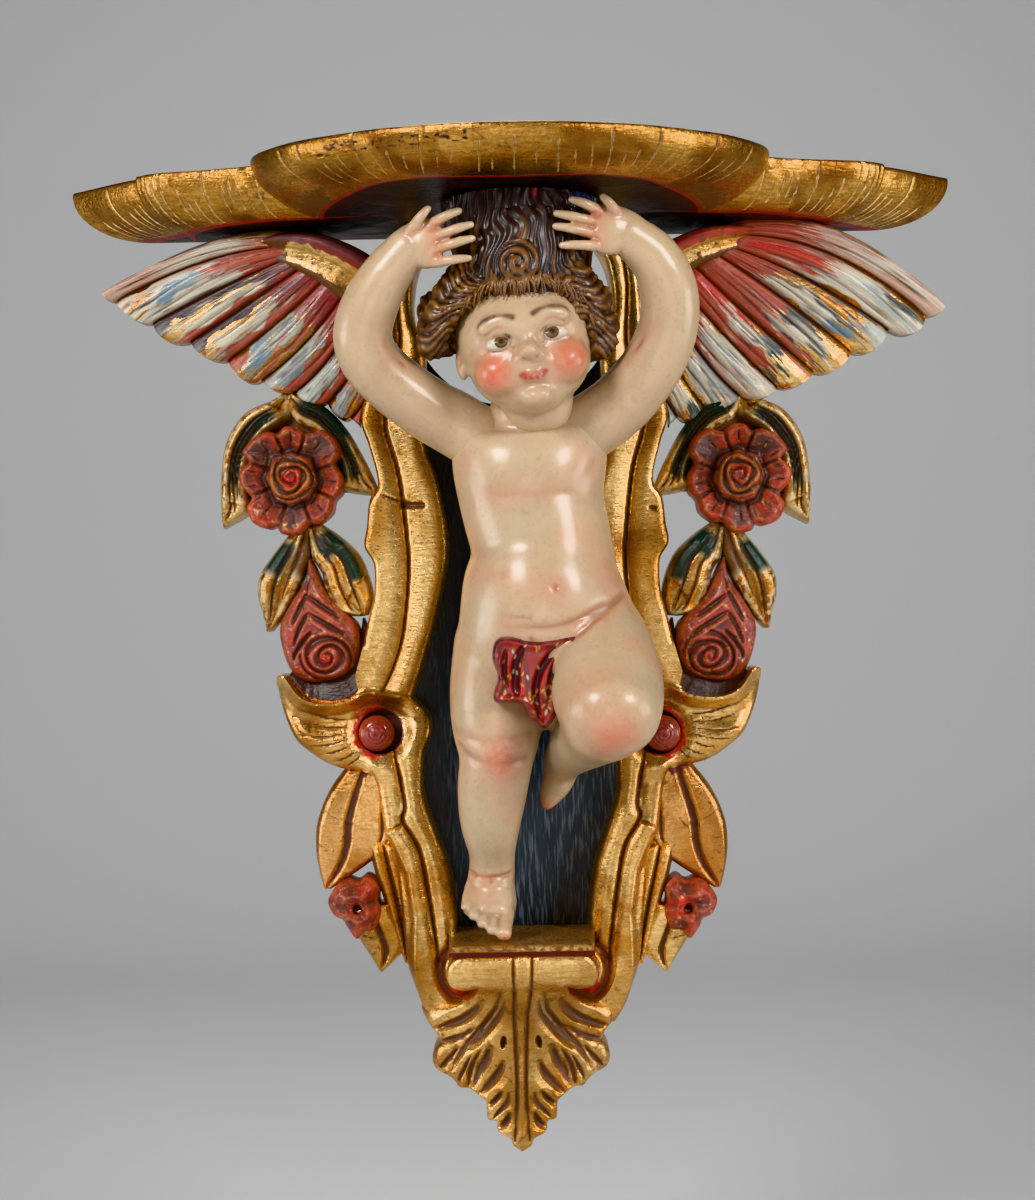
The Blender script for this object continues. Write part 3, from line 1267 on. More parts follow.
@dataclass
class Board:
    """One side of the frame: a stile of two rounded ridges that flows into a scrolled horn."""

    inner: Points = (
        (36.2, 187.2), (39.9, 183), (47.6, 169), (50.5, 152), (49.1, 140), (44.6, 128), (44.5, 104), (45, 78),
        (40, 63), (35, 37), (35.4, 18), (41.4, -9), (47.3, -29), (53.6, -48), (53.6, -48), (45.5, -58),
        (45, -67), (48.6, -77), (49, -97), (43, -116), (36.6, -135), (33.5, -157), (33, -172), (24, -186),
        (19, -193), (20, -205), (32, -213.9))
    outer: Points = (
        (46, -213.9), (50.8, -205.6), (53.7, -198), (58.5, -183.5), (60.3, -165.5), (62.3, -144), (64, -128),
        (68.4, -117), (70, -107), (72.5, -92), (75, -86), (75, -86))
    horn: Points = (
        (80, -85), (90, -83.5), (98, -80.5), (107, -74.3), (113.6, -67.5), (119, -55.1), (121.8, -42.4),
        (121.3, -36.6), (121.3, -36.6), (118.1, -36), (109.9, -46.6), (98.9, -50.3), (84.9, -48.4),
        (80.5, -44), (80.5, -44), (82, -37))
    shoulder: Points = (
        (77.6, -21), (74.4, -6), (71.9, 4), (71.7, 19), (76.3, 28), (75, 38), (73.4, 51), (69, 60), (73, 78),
        (77, 92), (73, 108), (66, 128), (64, 152), (61.7, 169), (56, 183), (53.4, 187.2))
    ridge: Points = (
        (121, -36.5), (118.1, -37), (109.9, -47.6), (98.9, -51.3), (84.9, -49.4), (76.5, -45.4), (69.5, -46),
        (62, -47), (53.6, -49))
    valley: Points = (
        (52, 187), (57.5, 160), (57, 128), (63, 104), (65, 88), (59.6, 68), (57.3, 54), (55.2, 33.5),
        (54.4, 19), (55.8, -1.3), (58.6, -19.5), (63.4, -34), (68.6, -45))
    lower_valley: Points = (
        (68.5, -56), (63.4, -75.7), (58.4, -100.9), (59.3, -110.3), (51.7, -124.5), (47.4, -146.6),
        (43.9, -171.7), (43.3, -181))
    fold: Points = ((66, -113.2), (64.1, -122.5), (57.3, -136.7), (54.3, -158.7), (55.5, -185), (54, -200))
    crescent: Points = ((36, -173), (41, -179.5), (42.5, -185.3), (41, -192.7), (36.5, -199), (31.5, -200),
                        (25, -196), (21, -191))
    engraved: Sequence[Points] = (
        ((84, -62), (96, -62.5), (110, -59)), ((85, -65), (97, -67), (112, -66)),
        ((85, -68), (96, -71), (107, -71.5)), ((84, -71), (92, -74.5), (101, -76)),
        ((82, -74), (88, -78), (94, -79.5)), ((80, -76.5), (84, -80), (87, -81.5)),
        ((86, -59), (98, -57.5), (107, -54)))
    front: Points = ((187, 38), (-150, 38), (-190, 34), (-214, 28))
    cove: Points = ((0, 0.6), (2, 2.2), (5, 5.6), (9, 6.6), (14, 4.6), (20, 2.2), (30, 1), (60, 0))
    socket_x: float = 70.2
    socket_z: float = -65.2
    socket_radius: float = 11.2
    socket_floor: float = 22.0

    def carve(self, side: Side) -> None:
        """Carves the stile and horn of one side.

        Args:
            side: The side.
        """
        def facing(points: Points) -> np.ndarray:
            """Draws a line of the right half on this side."""
            return spline([[side * x, z] for x, z in points])

        outline = np.vstack([facing(self.inner), facing(self.outer), facing(self.horn),
                             facing(self.shoulder)])
        turn = np.linspace(0, 2 * math.pi, 49)[:-1]
        hole = np.stack([side * self.socket_x + np.cos(turn) * self.socket_radius,
                         self.socket_z - side.fall + np.sin(turn) * self.socket_radius], axis=1)
        relief = Relief(outline, 0.75, hole=hole, floor=self.socket_floor)
        x, z = relief.places[:, 0] * side, relief.places[:, 1]
        ridge, valley, low = facing(self.ridge), facing(self.valley), facing(self.lower_valley)
        gap = distance(relief.places, ridge)[0]
        line = np.interp(x, [p[0] for p in self.ridge[::-1]], [p[1] for p in self.ridge[::-1]])
        below = z < line
        front = table(self.front, z)
        upper = front - 3.0 * np.clip(1 - distance(relief.places, valley)[0] / 10.0, 0, 1) ** 2.0
        furrow = np.clip(1 - distance(relief.places, low)[0] / 6.0, 0, 1) ** 2.0
        lower = front - table(self.cove, gap) - 2.4 * furrow
        flank = ease(x, 74.0, 84.0)
        lower -= flank * 3.0 * ease(gap, 14.0, 34.0)
        relief.raise_to(np.where(below, lower, upper))
        relief.round_edge(8.0, 6.0, facing(self.inner)).round_edge(3.5, 3.0, facing(self.shoulder))
        relief.round_edge(5.0, 5.0, facing(self.outer)).round_edge(8.0, 8.0, facing(self.horn[:7]))
        relief.depth += 1.8 * np.exp(-(gap / 1.6) ** 2)
        relief.cut([Cut(valley[:-2], 1.4, 1.7, GROOVE), Cut(low[4:], 1.4, 1.8, GROOVE)])
        edge = np.interp(-z, [-q for _, q in self.fold], [p for p, _ in self.fold])
        relief.depth -= 4.5 * ease(x - edge, -1.5, 3.5) * ease(-z, 116.0, 122.0)
        volute = distance(relief.places, facing(self.crescent))[0]
        relief.depth -= 3.5 * (1 - ease(volute, 0.6, 4.0))
        inner = ease(38.0 - x, -2.0, 2.0) * ease(-z, 180.0, 186.0) * (1 - ease(-z, 197.0, 201.0))
        relief.paint(BOLE, np.maximum((1 - ease(volute, 0.5, 2.2)), inner) * 0.97)
        relief.cut([Cut(facing(points), 0.75, 0.5, UMBER) for points in self.engraved])
        step = z + 113.0 + (x - 60.0) * 0.35
        relief.depth -= 2.6 * ease(step, 0.0, 1.6) * ease(x, 58.0, 61.0) * ease(-z, 84.0, 94.0)
        near = np.hypot(x - self.socket_x, z - self.socket_z + side.fall) - self.socket_radius
        relief.depth -= 3.4 * (1 - ease(near, -1.0, 7.0))
        relief.paint(SCARLET, (1 - ease(near, 1.0, 4.5)) * ease(x, 66.0, 76.0) * 0.8)
        relief.paint(DULL_RED, 1 - ease(near, 0.2, 1.4))
        if side is Side.LEFT:
            relief.cut([Cut(spline([(-56, 48.8), (-47, 48.5)]), 2.2, 2.6, UMBER, 0.0),
                        Cut(spline([(-67.8, 54.4), (-62, 52), (-56, 50)]), 0.8, 1.0, UMBER)])
        else:
            relief.cut([Cut(spline([(66, 45.5), (71.6, 44.8)]), 1.6, 1.4, UMBER)])
        relief.dress(f"{side.hand}_stile_and_horn", GILDING, ["carved_frame"])


@dataclass
class Garland:
    """Rose, bud and leaves that hang down each side of the frame."""

    rose_at: tuple[float, float] = (-112.8, 63.5)
    bud_at: tuple[float, float] = (-96.4, -27.3)
    flower_at: tuple[float, float] = (-84.0, -155.5)
    flower_outline: Points = (
        (-98.5, -150.5), (-94, -143), (-88.7, -140.2), (-83.5, -141.5), (-78.4, -138.6), (-72.6, -143.6),
        (-73.2, -151), (-71.8, -157), (-75.2, -165.5), (-80.5, -166.5), (-84.5, -170), (-89.4, -164),
        (-91, -160.5), (-96, -157.5))
    leaves: Sequence[Leaf] = (
        Leaf("hood_leaf_outside", (
            (-118.5, 107.5, -112.5, 108, 20), (-126, 103, -113, 95, 27), (-138, 96.5, -124, 86, 27),
            (-147, 82, -133, 74, 27), (-150, 62, -136, 60, 27), (-150.5, 48, -135.5, 48, 26),
            (-149.8, 39, -146, 41, 20)),
            cuts=((0.36, 0.08, 0.97, 1.0, 1.5, GREEN), (0.52, 0.1, 0.97, 1.0, 1.5, GREEN),
                  (0.66, 0.14, 0.86, 0.9, 1.2, GREEN)),
            patches=((BOLE, -1, 0.06, 0.1, 0.75), (GREEN, 0.3, 0.7, 0.16, 0.74), (UMBER, 0.75, 2, 0.1, 0.6))),
        Leaf("hood_leaf_inside", (
            (-112.5, 108, -118.5, 107.5, 20), (-105, 104, -112, 93, 27), (-95, 99, -102, 87, 27),
            (-86, 89, -94, 78, 27), (-78, 75, -89, 68, 27), (-72, 62, -88, 58, 26), (-69, 53, -75, 55, 22)),
            cuts=((0.28, 0.08, 0.9, 1.0, 1.4, GREEN), (0.44, 0.08, 0.97, 1.0, 1.5, GREEN),
                  (0.6, 0.12, 0.9, 1.0, 1.3, GREEN)),
            patches=((GREEN, -1, 0.66, 0.08, 0.55), (GREEN, 0.3, 0.66, 0.5, 0.86),
                     (GREEN, 0.7, 2, 0.6, 0.8))),
        Leaf("low_leaf_outside", (
            (-112, 40, -105, 40, 22), (-124, 25, -105, 24, 27), (-131, 14, -109, 13, 27),
            (-132, 4, -114, 2, 27), (-130, -5, -119, -6, 25), (-128.6, -14, -126, -14, 20)),
            section=((0, 5), (0.12, 1.5), (0.3, 0), (0.55, 1.6), (0.62, 2.4), (0.85, 1.4), (1, 3)),
            cuts=((0.42, 0.1, 0.92, 1.1, 1.6, GREEN), (0.7, 0.12, 0.7, 0.9, 1.2, UMBER)),
            patches=((GREEN, 0.04, 0.5, 0.14, 0.5), (UMBER, 0.55, 2, 0.0, 0.4))),
        Leaf("low_leaf_inside", (
            (-100, 41, -107, 39, 22), (-90, 34, -104, 24, 27), (-81, 25, -99, 15, 27), (-76, 14, -97, 5, 27),
            (-74, 3, -91, -5, 26), (-76.5, -6.5, -81, -7, 22)),
            section=((0, 5), (0.12, 1.5), (0.3, 0), (0.55, 1.8), (0.62, 2.6), (0.85, 1.0), (1, 3)),
            cuts=((0.4, 0.1, 0.94, 1.1, 1.6, GREEN), (0.66, 0.3, 0.94, 0.9, 1.2, UMBER)),
            patches=((GREEN, 0.02, 0.75, 0.06, 0.34), (GREEN, 0.06, 0.4, 0.3, 0.62))),
        Leaf("rose_pad", (
            (-118, 106, -110, 106, 18), (-128, 95, -98, 95, 20), (-138, 82, -90, 82, 20),
            (-141, 68, -85, 68, 20), (-140, 54, -84, 57, 18)),
            section=((0, 1), (0.4, 0), (0.6, 0), (1, 1)), patches=((UMBER, -1, 2, -1, 2),),
            finish=LEAF_BRONZE),
        Leaf("bud_cup", (
            (-117.5, -37, -112, -30, 22), (-109, -47.5, -105, -32, 25), (-98, -51.5, -96, -30, 27),
            (-87, -50.5, -88, -28, 28), (-79, -45, -82, -22, 27), (-75.5, -30, -80, -14, 25),
            (-75.8, -15, -79, -7, 22)),
            section=((0, 0), (0.2, 1.0), (0.6, 3), (1, 4)), patches=((CUP_BROWN, 0.1, 2, -1, 2),),
            finish=LEAF_BRONZE),
        Leaf("big_leaf", (
            (-84, -78, -68, -80, 27), (-96, -93, -65, -98, 27), (-103.5, -110, -65, -110, 26),
            (-105, -124, -66, -120, 25), (-104, -135, -76, -131, 22), (-101.5, -146, -98, -146, 17)),
            section=((0, 3.5), (0.1, 1), (0.3, 0), (0.6, 0.3), (0.9, 0.4), (1, 1)),
            cuts=((0.42, 0.02, 0.98, 2.6, 2.2, GROOVE), (0.86, 0.0, 0.62, 1.6, 1.4, GROOVE)),
            patches=((DULL_RED, 0.1, 0.6, -1, 0.05),), finish=LEAF_BRONZE),
        Leaf("tip_leaf", (
            (-92, -156, -66, -152, 24), (-86, -168, -60, -166, 23), (-80, -178, -60.5, -177, 21),
            (-73.8, -188.6, -71.8, -188.8, 17)),
            section=((0, 4), (0.2, 0.5), (0.5, 0), (0.8, 0.5), (1, 3)),
            cuts=((0.5, 0.05, 0.97, 2.0, 2.4, GROOVE),), patches=((DULL_RED, -1, 0.12, 0.1, 0.6),)),
        Leaf("stem_strip", (
            (-71, -113, -68, -113, 22), (-77.5, -119, -64, -118, 27), (-76, -133, -60, -134, 27),
            (-71, -150, -57.5, -151, 26), (-66, -167, -56, -168, 24), (-61, -184, -57, -185, 21)),
            section=((0, 6), (0.15, 1.0), (0.3, 0.0), (0.5, 2.4), (0.66, 0.2), (0.85, 1.0), (1, 4)),
            cuts=((0.5, 0.1, 0.97, 1.0, 1.2, GROOVE), (0.1, 0.0, 0.6, 1.0, 0.8, UMBER))),
    )
    rose_outline: Points = (
        (-125, 87.2), (-132, 84), (-137.7, 76.9), (-134.6, 72), (-139.3, 67.1), (-139, 61), (-136, 57.3),
        (-133.4, 53.5), (-135.6, 49), (-133, 41.5), (-125.8, 38), (-121, 39), (-118.5, 35.5), (-110, 34.6),
        (-104.6, 39.9), (-99, 40.5), (-93, 45.4), (-91.4, 51.5), (-87.6, 56), (-86.9, 64), (-90.2, 70.4),
        (-87.6, 76), (-90.6, 83.4), (-97, 87.6), (-104.5, 86), (-109.4, 89.4), (-116, 89.6), (-119.5, 86.4))
    petal_gaps: Points = (
        (-134.6, 72), (-134.2, 54), (-119.6, 37.5), (-103, 40), (-90.6, 51.8), (-90, 70.6), (-105.4, 86.4),
        (-120.4, 86.6))
    bud_outline: Points = (
        (-105.5, 22), (-107.2, 11.9), (-113.6, 2.3), (-120.2, -10.2), (-119.8, -21.4), (-115, -34),
        (-106, -39.5), (-93.4, -38.4), (-84, -33.2), (-80.5, -22.1), (-81.7, -10.9), (-90, -3), (-97, 6),
        (-103.5, 20))
    bud_folds: Sequence[Points] = (
        ((-105.8, 6), (-110, -3), (-113.8, -10.3)), ((-106.5, 4.5), (-98, -2), (-90, -7.5)),
        ((-106, -4.9), (-110, -13), (-113.3, -21.5)), ((-106, -4.6), (-96, -11), (-87.4, -15.8)),
        ((-104, -14), (-112, -24), (-112.5, -30)), ((-104, 16), (-105.8, 6)))
    rose_section: Points = ((0, 35.5), (0.2, 36.5), (0.4, 35.5), (0.5, 33), (0.54, 28), (0.6, 27.5),
                            (0.72, 30),
                            (0.9, 33), (1, 31.5))
    flower_section: Points = ((0, 21), (0.14, 22), (0.26, 28), (0.5, 30), (0.8, 27.5), (1, 24))
    back_step: float = 0.15

    def rose(self, side: Side) -> None:
        """Carves an open rose of wavy petals round a spiral heart.

        Args:
            side: Side that it hangs on.
        """
        relief = Relief(spline(mirrored(self.rose_outline, side), 1.0, closed=True), 0.6, back=10.0)
        centre = np.array(mirrored([self.rose_at], side)[0])
        _, _, r, angle = relief.around(centre)
        share = r / np.maximum(r + relief.edge, 1e-6)
        surface = table(self.rose_section, share)
        uneven = r + 0.8 * np.sin(angle * 3 + r * 0.5) * ease(r, 2.0, 6.0)
        twist = np.cos(2 * math.pi * (uneven / 4.2 - side * angle / (2 * math.pi)))
        surface += 1.2 * twist * (1 - ease(r, 11.0, 13.0)) * ease(r, 1.0, 3.0)
        relief.raise_to(surface).round_edge(2.0, 3.5)
        relief.paint(ROSE, 1.0)
        wave = np.cos(angle * 5 + 1.0) + np.cos(angle * 3 - 2.0)
        relief.paint(ROSE_GREY, ease(r, 13.0, 16.0) * ease(wave, -0.2, 1.2) * (1 - ease(share, 0.88, 1.0)))
        relief.paint(PETAL_EDGE, ease(share, 0.84, 0.95) * ease(np.sin(angle * 4 + 0.6), -0.3, 0.5) * 0.9)
        relief.paint(CUP, ease(r, 11.4, 13.0) * (1 - ease(r, 14.6, 16.4)))
        relief.paint(UMBER, (1 - ease(r, 11.0, 12.4)) * ease(r, 5.0, 6.5))
        relief.paint(HEART_GOLD, (1 - ease(r, 10.0, 11.5)) * ease(r, 5.0, 6.5) * ease(twist, 0.1, 0.9))
        relief.paint(SCARLET, 1 - ease(r, 4.4, 6.2))
        relief.cut([Cut(spline([gap, (np.array(gap) * 0.5 + centre * 0.5)]), 1.2, 1.5, ROSE_GREY, 0.0)
                    for gap in mirrored(self.petal_gaps, side)])
        relief.cut([Cut(spline([centre + np.array([math.cos(a), math.sin(a)]) * q for q in (17.5, 23.5)]),
                        0.7, 0.8, ROSE_GREY) for a in np.linspace(0.2, 6.3, 19) ** 1.02])
        relief.dress(f"{side.hand}_rose", ROSE_PAINT, ["carved_frame"])

    def rosebud(self, side: Side) -> None:
        """Carves a closed bud whose folds wind round its lower end.

        Args:
            side: Side that it hangs on.
        """
        relief = Relief(spline(mirrored(self.bud_outline, side), 1.0, closed=True), 0.6, back=1.7)
        dx, dz, r, angle = relief.around(mirrored([self.bud_at], side)[0])
        relief.raise_to(27.0 + 6.0 * np.sqrt(np.clip(relief.edge / 12.0, 0, 1))).round_edge(4.0, 4.0)
        uneven = r + 0.9 * np.sin(angle * 2 + r * 0.4 + 1.0) * ease(r, 2.0, 6.0)
        twist = np.cos(2 * math.pi * (uneven / 4.6 - side * angle / (2 * math.pi)))
        ring = (1 - ease(r, 12.5, 15.0)) * ease(r, 1.0, 3.0)
        relief.depth += 1.3 * twist * ring + 1.2 * (1 - ease(r, 3.0, 14.0))
        relief.paint(BUD, 1.0)
        relief.paint(ROSE_GREY, ease(relief.edge, 6.0, 0.0) * 0.55)
        relief.paint(BUD_RED, ease(np.sin(dx * 0.35 + dz * 0.2), 0.2, 1.0) * 0.6)
        relief.paint(BUD_RUBBED, ring * ease(twist, 0.5, 1.0) * 0.6)
        relief.paint(ROSE_GREY, ring * ease(-twist, 0.3, 1.0) * 0.8)
        folds = [mirrored(fold, side) for fold in self.bud_folds]
        relief.cut([Cut(spline(fold), 1.7, 2.4, CUP) for fold in folds])
        relief.cut([Cut(spline(np.array(fold) + (0, -3.2)), 0.9, -0.8, BUD_RUBBED) for fold in folds])
        relief.paint(SCARLET, (1 - ease(r, 2.2, 5.0)) * 0.9)
        relief.dress(f"{side.hand}_rosebud", ROSE_PAINT, ["carved_frame"])

    def flower(self, side: Side) -> None:
        """Carves a small five-lobed flower with a pit in its middle.

        Args:
            side: Side that it hangs on.
        """
        relief = Relief(spline(mirrored(self.flower_outline, side), 0.8, closed=True), 0.55, back=1.9)
        dx, dz, r, angle = relief.around(mirrored([self.flower_at], side)[0])
        share = r / (r + relief.edge + 1e-6)
        surface = table(self.flower_section, share)
        folds = np.cos(5 * angle + 0.8) + 0.6 * np.cos(3 * angle + r * 0.3)
        surface += folds * 1.1 * ease(r, 2.0, 7.0)
        relief.raise_to(surface).paint(FLOWER_RED, 1.0)
        relief.paint(FLOWER_DARK, ease(-folds, 0.2, 1.3) * ease(r, 4.0, 8.0) * 0.8)
        relief.paint(FLOWER_LIGHT, ease(folds, 0.6, 1.5) * ease(share, 0.55, 0.9) * 0.7)
        relief.paint(BLACK, 1 - ease(r, 1.2, 2.6))
        if side is Side.RIGHT:
            relief.paint(SCARLET, (1 - ease(np.hypot(dx + 2, dz - 3), 3.0, 6.0)) * ease(r, 1.6, 3.0))
        relief.dress(f"{side.hand}_flower", ROSE_PAINT, ["carved_frame"])

    def build(self, side: Side) -> None:
        """Carves the garland of one side, each leaf's back a little further out than the last.

        Args:
            side: The side.
        """
        for number, leaf in enumerate(self.leaves, 1):
            leaf.carve(side, self.back_step * number)
        self.rose(side)
        self.rosebud(side)
        self.flower(side)


@dataclass
class Pendant:
    """Ledge for the standing foot over an acanthus leaf whose top rolls forward."""

    top: float = -167.0
    foot: float = -173.4
    reach: float = 79.9
    halves: Points = ((0, 38), (60, 37), (72, 35.8), (78, 34.6), (80, 33.6))
    spine: Points = (
        (-168, 74), (-173, 76), (-184, 73), (-195, 64), (-210, 54), (-225, 46), (-240, 40), (-255, 34),
        (-270, 29), (-281, 24))
    spread: Points = ((-281, 8), (-262, 22), (-246, 34), (-232, 48), (-207, 52), (-190, 60))
    lean: Points = ((-165, -0.5), (-192, -0.8), (-205, -2.0), (-281, -2.3))
    outline: Points = (
        (0, -171.4), (-27, -171.4), (-33.2, -173.2), (-36.4, -177.8), (-37, -183.8), (-35, -189.6),
        (-30.5, -192.9), (-25.7, -192.5), (-22.2, -190.8), (-24.6, -196), (-31, -199.8), (-38, -201.6),
        (-45, -202.6), (-50.4, -205.5), (-46.2, -213.9), (-42.4, -218.4), (-41.2, -222.4), (-43.4, -225.7),
        (-44.9, -230.3), (-43.4, -236.6), (-35.5, -241.4), (-31.2, -246.3), (-26.1, -246.8), (-19.6, -252.1),
        (-18, -254.3), (-17.7, -261), (-16.7, -263.2), (-13, -264.2), (-11.8, -269.6), (-6, -273.4),
        (-4.6, -276.8), (0, -280.4))
    flutes: Sequence[tuple] = (
        (((-18.7, -197.1), (-22.8, -204), (-29.6, -210), (-37.3, -213.3), (-44, -215.6)), 1.9),
        (((-21.6, -212.9), (-29.8, -218.4), (-36.6, -220.8), (-42, -221.9)), 1.4),
        (((-10.5, -192.6), (-12.5, -201.7), (-17, -209.4), (-23.9, -218.8), (-29.9, -226.3), (-35.8, -237.5)),
         1.4),
        (((-8.2, -196.7), (-9.9, -204.2), (-14.1, -211), (-19.6, -217.6), (-26.5, -225)), 1.2),
        (((-31, -224), (-37.6, -232), (-42.5, -237.4)), 1.1),
        (((-24.9, -227.8), (-29.1, -236), (-32.3, -244)), 0.9),
        (((-20.2, -224.8), (-24.8, -234), (-27.3, -246)), 1.2),
        (((-14.8, -221.5), (-18, -230.9), (-21.7, -238.3), (-24.6, -246.5)), 1.9),
        (((-8.6, -229.5), (-11.6, -236.9), (-15.9, -243), (-21.6, -249)), 1.7),
        (((-9.8, -246.2), (-12.5, -251.4), (-17.2, -255)), 1.3),
        (((-6.2, -246.6), (-7.5, -253), (-11.1, -257.7), (-15.6, -263)), 1.1),
        (((-6.2, -257.5), (-7.7, -262.9), (-12, -267.6)), 1.4))
    ribs: Points = ((-4.6, -173.5), (-4.4, -186), (-3.3, -205), (-2.5, -230), (-2.4, -252), (-3.8, -274.5))

    def ledge(self) -> None:
        """Planes the ledge: a board with a thin rounded lip over a dark red hollow."""
        edge, low, top = self.reach, self.foot, self.top
        profile = np.array([(edge - 6, low), (edge - 5.4, low + 2.2), (edge - 3.6, low + 2.8),
                            (edge - 1.2, low + 3.2),
                            (edge, low + 4.4), (edge - 0.3, top - 0.9), (edge - 1.6, top - 0.2),
                            (edge - 5, top)])
        profile = np.vstack([spline(profile, 0.4), [(40, top), (0.5, top), (0.5, low)], profile[:1]])
        bm = bmesh.new()
        verts, u, v = grid(bm, 96, len(profile) - 1)
        row = np.rint(v * (len(profile) - 1)).astype(int)
        put(verts, (u * 2 - 1) * table(self.halves, profile[row, 0]) - 0.8, profile[row, 0], profile[row, 1])
        bmesh.ops.remove_doubles(bm, verts=bm.verts, dist=0.001)
        bmesh.ops.holes_fill(bm, edges=rim_of(bm), sides=0)
        mesh = settle(bm, "ledge")
        co = arrays_of(mesh)[0]
        under = 1 - ease(co[:, 2], low + 2.2, low + 3.0)
        tint = coat(DULL_RED, under)
        tint[under < 0.05] = (0.20, 0.08, 0.026, 0.5)
        dress(mesh, "ledge", GILDING, ["carved_frame"], tint)

    def leaf(self) -> None:
        """Carves the acanthus leaf with its two volutes."""
        left = spline(self.outline, 0.9)
        outline = np.vstack([left, (left * (-1, 1))[-2:0:-1]])
        relief = Relief(outline, 0.5, back=0.2)
        x, z = relief.places.T
        spine = table(self.spine, z)
        below = ease(-z, 188.0, 198.0)
        fall = np.clip(np.abs(x) / table(self.spread, z), 0, 1.2)
        surface = spine - (spine - 27.0) * fall ** 1.25 * below
        off_axis = np.clip(np.abs(z + 182.0) - 2.0, 0, 9) / 10.5
        roll = (1 - below) * (1 - np.sqrt(np.clip(1 - off_axis ** 2, 0, 1)))
        surface -= roll * 7.0
        surface += (1 - below) * 1.2 * np.exp(-((np.abs(x) - 2.0) / 3.5) ** 2)
        relief.raise_to(surface).round_edge(4.5, 4.4)
        relief.paint(PENDANT_SHADE, 0.36 * ease(fall, 0.42, 0.95) * below)
        for mirror in (1, -1):
            relief.round_edge(11.0, 9.0, spline(np.array(self.outline[10:14]) * (mirror, 1)))
        cuts = []
        for mirror in (1, -1):
            for line, width in self.flutes:
                path = spline(np.array(line) * (mirror, 1), 1.0)
                cuts.append(Cut(path, width * 3.6, width * 1.7, None, 0.45))
                cuts.append(Cut(path, width * 1.6, width * 1.6, GROOVE, 0.5))
            cuts.append(Cut(spline([(mirror * -8.4, -216.5), (mirror * -8.8, -220), (mirror * -9.4, -223.6)]),
                            1.7, 3.2, BLACK, 0.35))
            cuts.append(Cut(spline(np.array(self.ribs) * (mirror, 1)), 2.6, 1.4, None, 0.0))
            cuts.append(Cut(spline(np.array(self.ribs) * (mirror, 1)), 1.2, 1.1, RIB_BROWN, 0.1))
        relief.cut(cuts)
        relief.depth = np.clip(relief.depth, 14.0, None)
        relief.places[:, 0] += table(self.lean, z)
        relief.dress("acanthus_pendant", GILDING, ["carved_frame"])

    def build(self) -> None:
        """Makes the ledge and the leaf."""
        self.ledge()
        self.leaf()


# Wings


